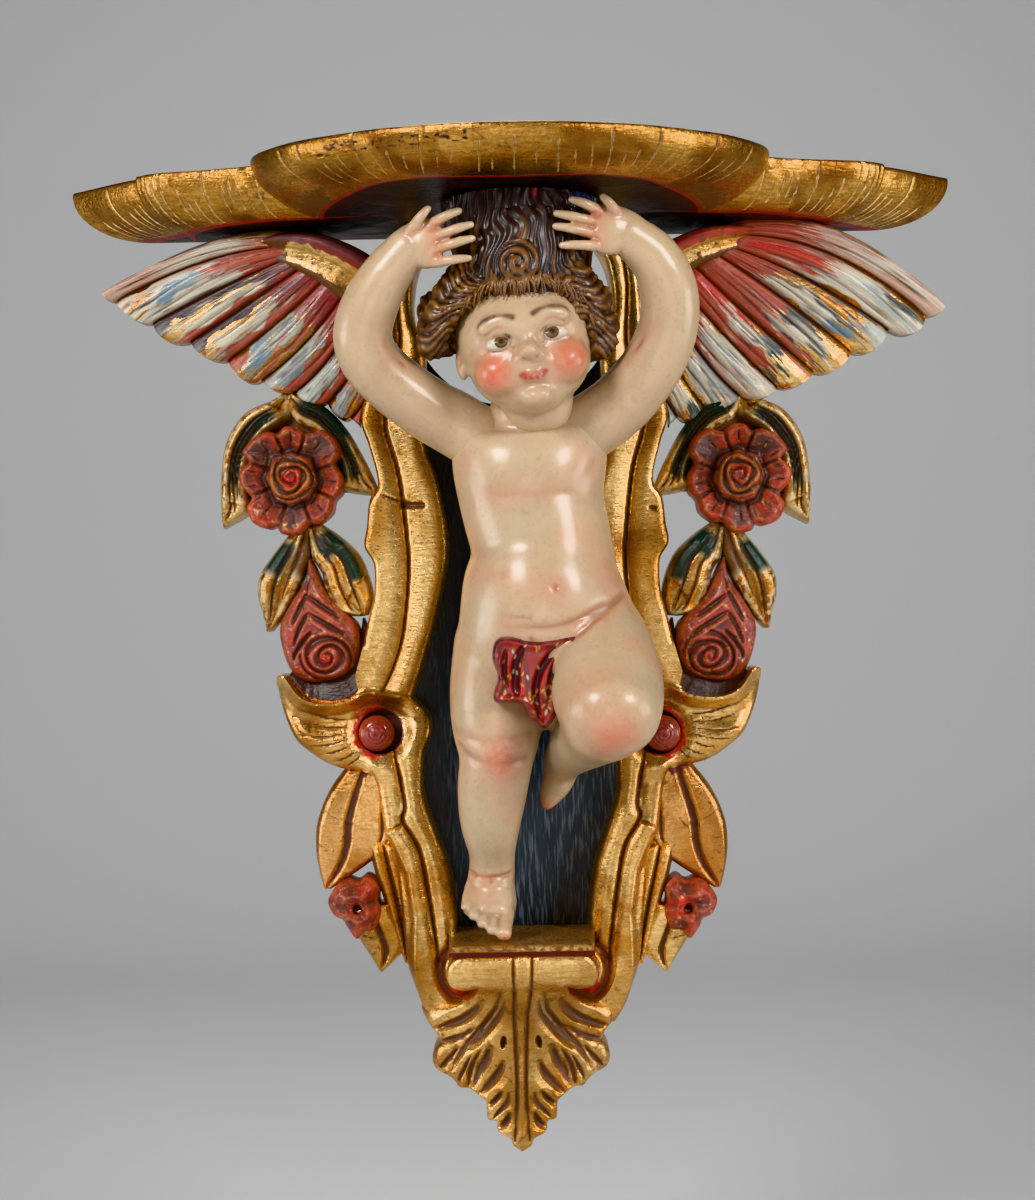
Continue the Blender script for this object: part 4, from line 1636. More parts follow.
@dataclass
class Wing:
    """Fan of overlapping feathers behind a rolled leading edge.

    Each line is the border between two feathers as (root x, root z, middle x, middle z, notch x, notch
    z); the tips, one fewer, are what the feathers reach between their notches.
    """

    side: Side
    lines: Points
    tips: Points
    palette: Sequence[Sequence[tuple]]
    band_tints: Sequence[tuple]
    band: Points
    columns: int = 30
    rows: int = 72
    back: float = 9.0
    root_depth: float = 35.0
    tip_depth: float = 25.0
    relief: float = 5.2
    cove: float = 4.0
    dash_count: int = 13
    crown: Points = ((0, 0.0), (0.1, 0.62), (0.34, 1.0), (0.6, 0.9), (0.88, 0.5), (1, 0.0))
    clearance: Points = ((92, 78.5), (108, 74.3), (128, 67.3), (152, 65.3), (169, 63.0))
    band_section: Points = ((0, 7), (0.06, 3), (0.14, 0.6), (0.24, 0), (0.36, 1.6), (0.5, 4.4), (0.75, 5.4),
                            (0.92, 5.2), (1, 7.5))
    dashes: Sequence[tuple] = (
        ((0.06, 0.045, 0.05), 1.0), ((0.44, 0.085, 0.06), 1.0), ((0.09, 0.15, 0.18), 1.0),
        ((0.68, 0.6, 0.46), 1.0),
        ((0.12, 0.06, 0.04), 0.1), ((0.16, 0.07, 0.07), 1.0))

    def curve(self, row: Sequence[float], u: np.ndarray) -> tuple[np.ndarray, np.ndarray]:
        """Finds places along a border between two feathers.

        Args:
            row: The border.
            u: Shares of its length.

        Returns:
            The places' x and z.
        """
        rx, rz, mx, mz, nx, nz = row
        cx, cz = 2 * mx - (rx + nx) / 2, 2 * mz - (rz + nz) / 2
        a, b, c = (1 - u) ** 2, 2 * u * (1 - u), u * u
        return a * rx + b * cx + c * nx, a * rz + b * cz + c * nz

    def feathers(self) -> None:
        """Carves the fan of feathers."""
        count = len(self.tips) * self.columns
        bm = bmesh.new()
        layer = bm.verts.layers.float_color.new("paint")
        marks = bm.verts.layers.float_vector.new("marks")
        verts, u, along = grid(bm, count, self.rows)
        column = np.rint(u * count).astype(int)
        which = np.minimum(column // self.columns, len(self.tips) - 1)
        share = (column - which * self.columns) / self.columns
        x, z = np.zeros(len(verts)), np.zeros(len(verts))
        for i, tip in enumerate(self.tips):
            own = which == i
            s, t = share[own], along[own]
            ax, az = self.curve(self.lines[i], t)
            bx, bz = self.curve(self.lines[i + 1], t)
            bulge = (1 - np.abs(2 * s - 1) ** 2.4) * t ** 5
            x[own] = ax + (bx - ax) * s + bulge * (tip[0] - (self.lines[i][4] + self.lines[i + 1][4]) / 2)
            z[own] = az + (bz - az) * s + bulge * (tip[1] - (self.lines[i][5] + self.lines[i + 1][5]) / 2)
        crown = table(self.crown, share)
        barbs = sum(np.exp(-((share - at - 0.05 * np.sin(along * 7 + which)) / 0.04) ** 2)
                    for at in (0.36, 0.7))
        barbs *= ease(along, 0.12, 0.3) * (1 - ease(along, 0.86, 0.98))
        front = (self.root_depth + (self.tip_depth - self.root_depth) * along - self.relief
                 + crown * self.relief * np.minimum(1, 0.45 + along) - 0.55 * barbs
                 - self.cove * (1 - ease(along, 0.0, 0.12)) - 2.2 * ease(along, 0.965, 1.0))
        x = self.side * np.maximum(x * self.side, table(self.clearance, z))
        put(verts, x, front, z)
        tint = self.painted(which, share, along)
        strokes = np.stack([(which + share) * 9.0, along * 6.0], axis=1)
        for vert, colour, mark in zip(verts, tint, strokes):
            vert[layer] = colour
            vert[marks] = (*mark, 0.0)
        for step in (0.8, 100.0):
            for vert in draw_out(bm, rim_of(bm))[0]:
                vert.co.y = min(vert.co.y + step, -self.back)
                vert[layer] = (*WOOD, 0.4 if step < 1 else 1.0)
                vert[marks] = (vert.co.x * 0.3, vert.co.z * 0.3, 0.0)
        bmesh.ops.holes_fill(bm, edges=rim_of(bm), sides=0)
        mesh = settle(bm, "feathers")
        paint, strokes = taken(mesh, "paint", "color", 4), taken(mesh, "marks", "vector", 3)[:, :2]
        dress(mesh, f"{self.side.hand}_feathers", WING_PAINT, [f"{self.side.hand}_wing"], paint, strokes)

    def painted(self, which: np.ndarray, share: np.ndarray, along: np.ndarray) -> np.ndarray:
        """Colours of the feathers, brushed in stripes over gold.

        Args:
            which: Number of the feather of each vertex.
            share: Its place across the feather.
            along: Its place along the feather.

        Returns:
            Colour and cover of the paint for each vertex.
        """
        tint = np.zeros((len(which), 4))
        rng = np.random.default_rng(7)
        for i, patches in enumerate(self.palette):
            own = which == i
            s, t = share[own], along[own]
            feather = np.zeros((own.sum(), 4))
            for colour, low, high, start, end, cover in patches:
                jag = rng.normal(0.0, 0.055, 2 * self.columns + 1)
                ragged = t + np.interp(s, np.linspace(0, 1, len(jag)), jag)
                wavy = s + 0.07 * np.sin(t * 17 + i * 2.0) + 0.04 * np.sin(t * 41 + i)
                brush(feather, colour,
                      window(wavy, low, high, 0.02) * window(ragged, start, end, 0.015), cover)
            for index in range(self.dash_count):
                at, down, reach = rng.uniform(0.04, 0.96), rng.uniform(0.3, 0.98), rng.uniform(0.03, 0.12)
                colour, cover = self.dashes[index % len(self.dashes)]
                brush(feather, colour,
                      np.exp(-((s - at) / 0.035) ** 2 - ((t - down) / reach) ** 2) * 0.9, cover)
            tint[own] = feather
        stain(tint, FEATHER_GAP, np.exp(-(np.minimum(share, 1 - share) / 0.055) ** 2) * 0.85)
        return tint

    def leading_edge(self) -> None:
        """Carves the rolled band at the wing's root."""
        rows = turned(self.band, self.side)
        relief = Relief(edges_of(rows), 0.6, back=self.back + 0.3)
        share, along, fronts = strip_places(relief.places, rows)
        relief.raise_to(fronts - table(self.band_section, share))
        for colour, low, high, start, end in self.band_tints:
            relief.paint(colour, window(share, low, high, 0.05) * window(along, start, end, 0.06))
        x, z = relief.places.T
        relief.paint(UMBER, 0.42 * ease(np.sin(x * 0.55 + z * 0.31) * np.sin(x * 0.23 - z * 0.47 + 1.0),
                                        0.1, 0.8))
        relief.dress(f"{self.side.hand}_wing_band", GILDING, [f"{self.side.hand}_wing"])

    def build(self) -> None:
        """Makes the wing."""
        self.feathers()
        self.leading_edge()


WHITE: Colour = (0.66, 0.60, 0.47)
PALE_PINK: Colour = (0.62, 0.40, 0.31)
SALMON: Colour = (0.47, 0.08, 0.05)
WINE: Colour = (0.28, 0.035, 0.035)
MAUVE: Colour = (0.23, 0.095, 0.10)
SKY: Colour = (0.14, 0.26, 0.32)
ICE: Colour = (0.44, 0.49, 0.43)
NAVY: Colour = (0.03, 0.034, 0.055)
TEAL: Colour = (0.02, 0.06, 0.06)
SLATE: Colour = (0.24, 0.27, 0.27)

LEFT_WING = Wing(
    Side.LEFT,
    band=((-134, 183, -132, 178, 28), (-119, 187, -117, 172, 35), (-106, 187.5, -104, 166, 39),
          (-95, 185.5, -92, 158, 41), (-83, 181, -80, 148, 42), (-72, 175, -71, 140, 41),
          (-65, 169, -65, 136, 40)),
    lines=((-108, 187, -150, 185, -206, 161), (-108, 180, -152, 175, -202, 155),
           (-104, 177, -138, 164.5, -183, 144), (-98, 175, -128, 156, -164, 134),
           (-90, 168, -116, 145, -145, 124),
           (-82, 160, -104, 133, -128, 114), (-76, 151, -93, 124, -111, 108), (-70, 138, -83, 115, -95, 102),
           (-68, 120, -75, 103, -83, 94), (-68, 106, -70, 95, -75, 90)),
    tips=((-208, 158), (-192, 146), (-176, 135), (-156, 126), (-137, 114), (-120, 108), (-104, 101),
          (-89, 94), (-78, 90)),
    palette=(
        ((UMBER, -1, 0.2, -1, 2, 0.9), (PALE_PINK, 0.2, 2, 0.1, 2, 1), (WHITE, 0.3, 0.9, 0.3, 0.72, 1),
         (SALMON, 0.2, 2, -1, 0.25, 0.6)),
        ((SALMON, -1, 2, -1, 0.62, 1), (WHITE, 0.0, 0.5, 0.46, 2, 1), (SALMON, 0.1, 0.45, 0.2, 0.62, 1),
         (WHITE, 0.55, 2, 0.45, 2, 1), (SKY, 0.28, 0.62, 0.6, 0.9, 1), (NAVY, 0.1, 0.4, 0.88, 0.98, 0.5)),
        ((MAUVE, -1, 2, -1, 0.5, 1), (NAVY, -1, 0.42, 0.35, 2, 1), (UMBER, 0.26, 0.42, 0.66, 0.9, 0.25),
         (WHITE, 0.46, 0.8, 0.42, 0.95, 1), (SALMON, 0.78, 2, 0.2, 2, 1)),
        ((WINE, -1, 2, -1, 0.5, 1), (NAVY, -1, 0.28, 0.5, 2, 1), (UMBER, 0.24, 0.36, 0.64, 0.92, 0.2),
         (WHITE, 0.36, 0.78, 0.5, 0.95, 1), (SALMON, 0.76, 2, 0.1, 2, 1)),
        ((WINE, -1, 2, -1, 0.45, 1), (ICE, 0.0, 0.6, 0.42, 0.8, 1), (SKY, 0.1, 0.6, 0.72, 0.92, 1),
         (SALMON, 0.66, 0.86, 0.3, 2, 0.7), (SALMON, -1, 0.2, 0.86, 2, 1)),
        ((WINE, -1, 2, -1, 0.45, 1), (ICE, -1, 0.5, 0.4, 2, 1), (SLATE, 0.15, 0.6, 0.6, 0.96, 1),
         (SALMON, 0.6, 2, 0.2, 0.96, 1)),
        ((WINE, -1, 2, -1, 0.5, 1), (ICE, -1, 0.66, 0.45, 2, 1), (SALMON, 0.66, 2, 0.3, 2, 1)),
        ((SALMON, -1, 2, -1, 0.6, 1), (SLATE, 0.1, 0.6, 0.55, 2, 1)),
        ((SALMON, -1, 2, -1, 2, 1),)),
    band_tints=((MAUVE, -1, 0.34, 0.1, 2), (UMBER, -1, 0.08, -1, 2), (WINE, 0.26, 0.38, 0.4, 2),
                (UMBER, 0.86, 2, 0.1, 2), (UMBER, 0.3, 2, -1, 0.24)))

RIGHT_WING = Wing(
    Side.RIGHT,
    band=((-130, 185.5, -128, 180, 30), (-119, 187, -117, 176, 35), (-106, 187.3, -104, 171, 38),
          (-95, 185.5, -91, 165, 40), (-83, 181, -80, 155, 41), (-72, 175, -71, 145, 40),
          (-65, 169, -65, 140, 39)),
    lines=((108, 188, 162, 186, 216, 149), (108, 182, 160, 173, 210, 140), (104, 178, 147, 161, 191, 134),
           (98, 176, 133, 153, 172, 123), (90, 169, 119, 142, 153, 113), (82, 161, 107, 132, 134, 106),
           (76, 152, 96, 121, 116, 101), (70, 139, 85, 112, 98, 95), (68, 121, 76, 102, 83, 92),
           (68, 104, 68, 93, 69, 88)),
    tips=((219, 144), (203, 132), (183, 124), (163, 114), (143, 106), (125, 100), (106, 95), (90, 89),
          (76, 87)),
    palette=(
        ((UMBER, -1, 0.2, 0.5, 2, 0.5), (SALMON, -1, 2, -1, 0.5, 1), (PALE_PINK, 0.15, 2, 0.42, 2, 1),
         (WHITE, 0.3, 0.7, 0.6, 0.95, 1)),
        ((SALMON, -1, 2, -1, 0.6, 1), (SCARLET, 0.3, 0.7, 0.1, 0.6, 0.8), (WHITE, 0.1, 0.9, 0.54, 2, 1),
         (ICE, 0.3, 0.55, 0.66, 0.95, 1), (TEAL, 0.05, 0.25, 0.8, 0.97, 0.8)),
        ((SALMON, -1, 2, -1, 0.45, 1), (TEAL, 0.0, 0.5, 0.5, 0.9, 0.8), (UMBER, 0.2, 0.36, 0.5, 0.95, 0.2),
         (WHITE, 0.5, 0.95, 0.36, 0.8, 1), (SKY, 0.55, 0.85, 0.78, 0.92, 1), (ICE, -1, 0.5, 0.88, 2, 1)),
        ((SALMON, -1, 2, -1, 0.7, 1), (TEAL, -1, 0.4, 0.62, 0.85, 0.9), (WHITE, 0.4, 0.7, 0.58, 0.94, 1),
         (TEAL, 0.1, 0.9, 0.86, 0.97, 0.5), (SALMON, 0.8, 2, 0.7, 0.96, 1)),
        ((SCARLET, -1, 0.5, -1, 0.6, 0.8), (SALMON, 0.4, 2, -1, 0.6, 1), (WHITE, 0.2, 0.6, 0.4, 0.75, 1),
         (TEAL, -1, 0.5, 0.66, 0.82, 0.9), (SALMON, 0.6, 2, 0.55, 0.9, 1), (TEAL, 0.2, 0.9, 0.84, 0.96, 0.5)),
        ((SALMON, -1, 2, -1, 0.5, 1), (WHITE, 0.0, 0.75, 0.35, 2, 1), (ICE, 0.3, 0.5, 0.5, 0.95, 1),
         (PALE_PINK, 0.75, 2, 0.5, 2, 1)),
        ((SCARLET, -1, 2, -1, 0.45, 0.9), (SLATE, -1, 0.35, 0.4, 2, 1), (WHITE, 0.35, 0.9, 0.4, 2, 1),
         (ICE, 0.5, 0.7, 0.5, 0.9, 1)),
        ((SCARLET, -1, 2, -1, 0.5, 0.9), (WHITE, 0.2, 0.9, 0.4, 0.85, 1), (TEAL, 0.0, 0.5, 0.8, 2, 0.8)),
        ((SALMON, -1, 2, -1, 0.5, 1), (ICE, -1, 2, 0.5, 2, 1))),
    band_tints=((SALMON, -1, 0.42, -1, 2), (WINE, 0.1, 0.3, 0.4, 2), (UMBER, -1, 0.07, -1, 2),
                (UMBER, 0.84, 2, 0.1, 2)))


# Panel and berries


@dataclass(frozen=True)
class Panel:
    """Brushed blue-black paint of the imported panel."""

    dark: Colour = (0.007, 0.012, 0.018)
    light: Colour = (0.020, 0.034, 0.046)
    streak: Colour = (0.22, 0.27, 0.31)

    def material(self) -> bpy.types.Material:
        """Makes the paint.

        Returns:
            The material.
        """
        made = bpy.data.materials.new("brushed_panel")
        made.use_nodes = True
        nodes = Tree(made.node_tree)
        place = nodes.add("TexCoord").outputs["Object"]
        stretched = nodes.add("Mapping", {"Vector": place, "Scale": (1.0, 1.0, 0.085)}).outputs[0]
        fine = nodes.noise(stretched, 900.0, 4.0)
        broad = nodes.noise(stretched, 130.0, 3.0, 0.5)
        cloud = nodes.noise(place, 22.0, 2.0)
        apart = nodes.add("SeparateXYZ", {"Vector": place}).outputs
        bright = nodes.math("ADD", nodes.span(apart["X"], -0.01, 0.03, 0.0, 0.45),
                            nodes.span(cloud, 0.4, 0.65, 0.0, 0.4))
        bright = nodes.math("MULTIPLY", bright, nodes.span(apart["Z"], 0.02, -0.06, 0.25, 1.0))
        brushed = nodes.math("MULTIPLY", nodes.span(fine, 0.5, 0.62), nodes.math("ADD", bright, 0.1))
        colour = nodes.blend(nodes.span(broad, 0.35, 0.65), rgba(self.dark), rgba(self.light))
        colour = nodes.blend(brushed, colour, rgba(self.streak))
        shader = nodes.add("BsdfPrincipled", {"Base Color": colour, "Coat Weight": 0.2,
                                              "Coat Roughness": 0.25})
        nodes.link(nodes.span(fine, 0.3, 0.7, 0.32, 0.55), shader.inputs["Roughness"])
        bump = nodes.add("Bump", {"Strength": 0.5, "Distance": 0.0008, "Height": fine})
        nodes.link(bump.outputs[0], shader.inputs["Normal"])
        out = nodes.add("OutputMaterial")
        nodes.link(shader.outputs[0], out.inputs["Surface"])
        return made

    def build(self) -> None:
        """Paints the panel."""
        paint = self.material()
        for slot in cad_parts["back_panel"].material_slots:
            slot.material = paint
        LOG.info("back_panel: painted")


@dataclass
class Berry:
    """Turned red ball with fine rings round its front."""

    x: float = 72.0
    z: float = -65.8
    radius: float = 9.3
    centre: float = 31.1
    tint: tuple[float, float, float, float] = (0.30, 0.035, 0.022, 1.0)

    def build(self, side: Side) -> None:
        """Turns one berry.

        Args:
            side: Side of its socket.
        """
        bm = bmesh.new()
        verts, u, v = grid(bm, 72, 64)
        polar, turn = v * math.pi, u * 2 * math.pi
        rings = 0.16 * np.cos(polar * 26) * (1 - ease(polar, 1.1, 1.5)) * ease(polar, 0.02, 0.2)
        r = self.radius + rings - 0.5 * np.exp(-(polar / 0.09) ** 2) - 0.16
        z = self.z - side.fall
        put(verts, side * self.x + r * np.sin(polar) * np.cos(turn), self.centre + r * np.cos(polar),
            z + r * np.sin(polar) * np.sin(turn))
        bmesh.ops.remove_doubles(bm, verts=bm.verts, dist=0.01)
        mesh = settle(bm, "berry")
        tint = np.tile(self.tint, (len(mesh.vertices), 1))
        dress(mesh, f"{side.hand}_berry_ball", LACQUER, [f"{side.hand}_berry"], tint, rounds=8)


# Angel


@dataclass
class Body:
    """Torso and legs of the child, joined and smoothed as one skin."""

    voxel: float = 1.0
    torso: Points = (
        (6, 74, 92, 18, 18), (6.5, 71, 86, 33, 24), (7, 70, 76, 37.5, 28), (7, 71, 62, 37, 30),
        (8, 71, 46, 34.5, 29), (10.6, 71, 35, 34.2, 30), (12.8, 71, 24, 34.1, 31), (12.3, 72, 8, 38.8, 34),
        (13.7, 72, -8.5, 42.5, 34), (14.5, 71, -20, 44, 32), (16, 69, -34, 38, 28), (14, 67, -44, 24, 22))
    standing_leg: Points = (
        (-7, 66, -20, 24, 26), (-10.9, 68, -46, 22.8, 24.5), (-11.1, 70, -68, 20.6, 22),
        (-11.7, 70, -78, 17.6, 19), (-13.9, 66, -92, 17, 18.5), (-15.2, 60, -110, 14.5, 16),
        (-14.7, 51, -126, 11, 12.5), (-15.5, 46, -140, 11.5, 13), (-15.5, 42, -150, 10.5, 12))
    standing_foot: Points = (
        (-14, 30, -157, 8.5, 8), (-14.5, 40, -152, 11.5, 11), (-15.5, 50, -148.5, 12.2, 10.5),
        (-17.5, 57, -150, 12.6, 7.5), (-18, 61, -152.5, 11.5, 5))
    toes: Points = ((-9.4, 72, -162.6, 3.9), (-15.2, 71.5, -160.8, 2.9), (-20, 69.5, -157.8, 2.7),
                    (-24.4, 66.5, -154.2, 2.6), (-28.4, 62.5, -150, 2.5))
    bent_thigh: Points = (
        (32, 62, -14, 27, 26), (37, 76, -26, 28, 28), (41, 92, -38, 27.5, 27), (42.5, 106, -48, 26, 25),
        (43, 116, -54, 23.5, 22))
    shin: Points = (
        (41, 110, -58, 21, 19), (36, 92, -64, 17.5, 16), (29, 74, -70, 14, 14), (23, 58, -77, 11, 11),
        (20, 48, -82, 9, 9.5))
    hanging_foot: Points = ((20.5, 47, -84, 8.5, 9), (18, 44, -92, 7.5, 8), (14, 42, -99, 5.5, 5.5),
                            (12.5, 42, -103, 3.5, 3.5))

    def build(self) -> None:
        """Models, smooths, creases and paints the skin."""
        bm = bmesh.new()
        for limb, reference in ((self.torso, FORWARD), (self.standing_leg, FORWARD), (self.standing_foot, UP),
                                (self.bent_thigh, UP), (self.shin, UP), (self.hanging_foot, FORWARD)):
            tube(bm, limb, 28, 4.0, reference)
        for x, depth, z, radius in self.toes:
            tube(bm, [(x + 1.5, depth - 14, z + 8.5, radius, radius),
                      (x + 0.4, depth - 6, z + 3.2, radius, radius),
                      (x, depth, z, radius, radius * 0.9)], 16, 1.0, UP)
        skin = Clay(bm, self.voxel, SKIN)
        toes = np.exp(-(np.clip(skin.co[:, 2] + 151.0, 0, None) / 4.0) ** 2) * (skin.co[:, 1] < -54)
        skin.smooth(44, 1.0 - toes)
        skin.smooth(2)
        skin.co += skin.normals * (0.55 * (1 - toes))[:, None]
        self.crease(skin.weather())
        skin.dress("angel_body", SKIN_PAINT, ["angel"], rounds=8)

    def crease(self, skin: Clay) -> None:
        """Presses the folds of the skin and paints the blush.

        Args:
            skin: The skin of torso and legs.
        """
        skin.press([(17.9, 105, 5.4)], 1.7, 2.6, CREASE, 0.9)
        skin.press([(17.9, 105, 5.4)], 6.0, 0.5, CREASE, 0.25)
        for line, width, depth, strength in (
                (((-29, 96, -5), (-14, 104, -11), (8, 107, -13.5), (24, 106, -11.5), (42, 100, -3)), 2.2, 2.0,
                 0.7),
                (((-26, 94, -1), (-12, 103, -6.5), (6, 106, -9)), 1.6, 0.8, 0.3),
                (((-30, 92, 18), (-20, 98, 14), (-8, 102, 13)), 3.0, 0.7, 0.3),
                (((6, 105, -19), (14, 106, -30), (16, 100, -44)), 2.0, 1.2, 0.3),
                (((24, 104, -28), (32, 104, -14), (44, 96, -4), (54, 84, 3)), 2.4, 2.2, 0.8),
                (((-22, 92, -140.5), (-14, 56, -138), (-4, 50, -139)), 1.2, 1.0, 0.7),
                (((-28, 52, -134), (-20, 58, -135.5), (-12, 60, -136), (-4, 55, -135)), 1.3, 1.5, 0.9),
                (((-31, 84, 80), (-27, 92, 64), (-20, 96, 53), (-8, 98.5, 50), (6, 99, 52), (20, 98.5, 51),
                  (32, 95, 54), (38, 88, 64)), 4.2, 0.6, 0.34),
                (((-30, 78, -70), (-20, 90, -78), (-8, 92, -79), (4, 84, -76)), 3.0, 1.4, 0.25),
                (((-30, 78, -62), (-20, 90, -67), (-6, 92, -66), (4, 84, -64)), 3.0, 0.8, 0.15),
                (((33, 128, -74), (44, 134, -77), (56, 126, -70)), 2.5, 0.8, 0.3)):
            skin.press(line, width, depth, CREASE, strength)
        for place, width, depth in (((7, 99, 74), 20, 0.5), ((12, 103, -2), 22, -1.6),
                                    ((-11, 92, -73), 9, -1.8), ((-16, 66, -134), 7, -0.6),
                                    ((-16, 88, -52), 16, -1.2)):
            skin.press([place], width, depth)
        for place, width, strength in (((-8, 91, -77), 10, 0.95), ((44, 136, -68), 13, 0.95),
                                       ((33, 130, -50), 12, 0.2),
                                       ((24, 98, 30), 5, 0.35), ((-24, 96, 12), 9, 0.2),
                                       ((-9, 76, -164), 4.0, 0.8),
                                       ((-28, 82, 24), 12, 0.3), ((17.9, 105, 5), 7, 0.25),
                                       ((12, 44, -103), 5, 0.8),
                                       ((-18, 66, -141), 9, 0.25), ((45, 90, 8), 14, 0.3),
                                       ((-26, 96, -36), 8, 0.2)):
            skin.paint(BLUSH, skin.near([place], width) * strength)
        for (xa, ya, za, _), (xb, yb, zb, _) in zip(self.toes, self.toes[1:]):
            middle = ((xa + xb) / 2 + 0.5, (ya + yb) / 2, (za + zb) / 2)
            gap = skin.near([(middle[0], middle[1] - 7, middle[2] + 5), middle], 0.8)
            skin.paint(TOE_GAP, np.clip(gap * 1.3, 0, 1) * 0.8)
        for x, depth, z, radius in self.toes:
            nail = skin.near([(x, depth + radius * 0.8, z + radius * 0.5)], radius * 0.45)
            skin.paint(TOENAIL, nail * 0.8)


@dataclass
class Arm:
    """Raised arm with a hand whose fingers lie on the hair block."""

    name: str
    line: Points
    palm: Points
    fingers: Points
    crook: Sequence[float]
    voxel: float = 0.7

    def build(self) -> None:
        """Models and paints the arm."""
        bm = bmesh.new()
        tube(bm, self.line, 26, 3.5)
        tube(bm, self.palm, 20, 2.0)
        for x0, z0, x1, z1 in self.fingers:
            tube(bm, [(x0, 113.5, z0, 2.7), (x0 + (x1 - x0) * 0.3, 117, z0 + (z1 - z0) * 0.28, 2.5),
                      (x0 + (x1 - x0) * 0.65, 118.8, z0 + (z1 - z0) * 0.66, 2.15), (x1, 118, z1, 1.6)],
                 16, 1.0)
        skin = Clay(bm, self.voxel, SKIN)
        hand = np.clip((skin.co[:, 2] - 156.0) / 8.0, 0, 1)
        fingers = np.clip(skin.near([(p[0] + (p[2] - p[0]) * 0.6, 118, p[1] + (p[3] - p[1]) * 0.6)
                                     for p in self.fingers[:4]], 13.0) * 1.6, 0, 1) * hand
        skin.smooth(44, 1.0 - 0.9 * hand - 0.1 * fingers)
        skin.smooth(3)
        skin.co += skin.normals * (0.6 - 0.4 * hand)[:, None]
        for (x0, z0, x1, z1), (x2, z2, x3, z3) in zip(self.fingers[:3], self.fingers[1:4]):
            skin.press([((x0 + x2) / 2, 117, (z0 + z2) / 2),
                        ((x0 + x1 + x2 + x3) / 4, 119, (z0 + z1 + z2 + z3) / 4)],
                       1.2, 0.5, CREASE, 0.8)
        for x0, z0, x1, z1 in self.fingers:
            skin.paint(FINGERNAIL, skin.near([(x1, 119.0, z1)], 1.5) * 0.8)
            skin.paint(BLUSH, skin.near([(x0, 118, z0)], 4.5) * 0.28)
        skin.press(self.crook, 1.6, 0.9, CREASE, 0.6)
        skin.paint(BLUSH, skin.near(self.crook, 8.0) * 0.15)
        skin.dress(self.name, SKIN_PAINT, ["angel"], rounds=8)


ARMS = (
    Arm("left_arm", (
        (-16, 72, 78, 15.5, 15), (-30, 72, 87, 15.5, 15.5), (-41, 76, 93, 15, 15.5),
        (-57, 83, 104.5, 14.5, 14.5),
        (-68, 89, 115.5, 14.2, 14), (-72, 94, 127, 13.8, 13.5), (-68, 98, 141, 13.3, 13),
        (-59, 103, 156, 11.6, 11), (-48, 108, 167.5, 10, 8)),
        ((-52, 106, 163, 10, 8), (-47, 108, 167.5, 10.5, 7), (-41, 111, 168.5, 12, 6.5),
         (-36, 113, 168.5, 11.5, 5)),
        ((-38, 177, -24, 182.6), (-36, 171, -18.5, 176), (-35, 165.5, -18, 169.5), (-36, 159, -19, 160.2),
         (-47.5, 174, -38.5, 184)),
        ((-60, 106, 122), (-52, 96, 114))),
    Arm("right_arm", (
        (27, 71, 76, 16, 16), (32, 71, 81, 16, 16), (46, 75, 90, 15.5, 15.5), (57.5, 81, 100, 15, 14.5),
        (68, 87, 114, 14.5, 14), (74.5, 91, 130, 14, 13.5), (74.5, 96, 147, 13.5, 13),
        (67.5, 101, 162, 12, 11),
        (54, 108, 172, 10, 8)),
        ((60, 106, 168, 10, 8), (54, 108, 172.5, 10.5, 7), (47, 111, 173.5, 12, 6.5),
         (41, 113, 173.5, 11.5, 5)),
        ((42, 182, 28.5, 187), (40, 176.5, 21, 180.5), (39, 171.5, 20.5, 174.5), (42, 165.5, 23.5, 165.5),
         (50, 181, 43, 188)),
        ((62, 104, 128), (58, 94, 116))),
)


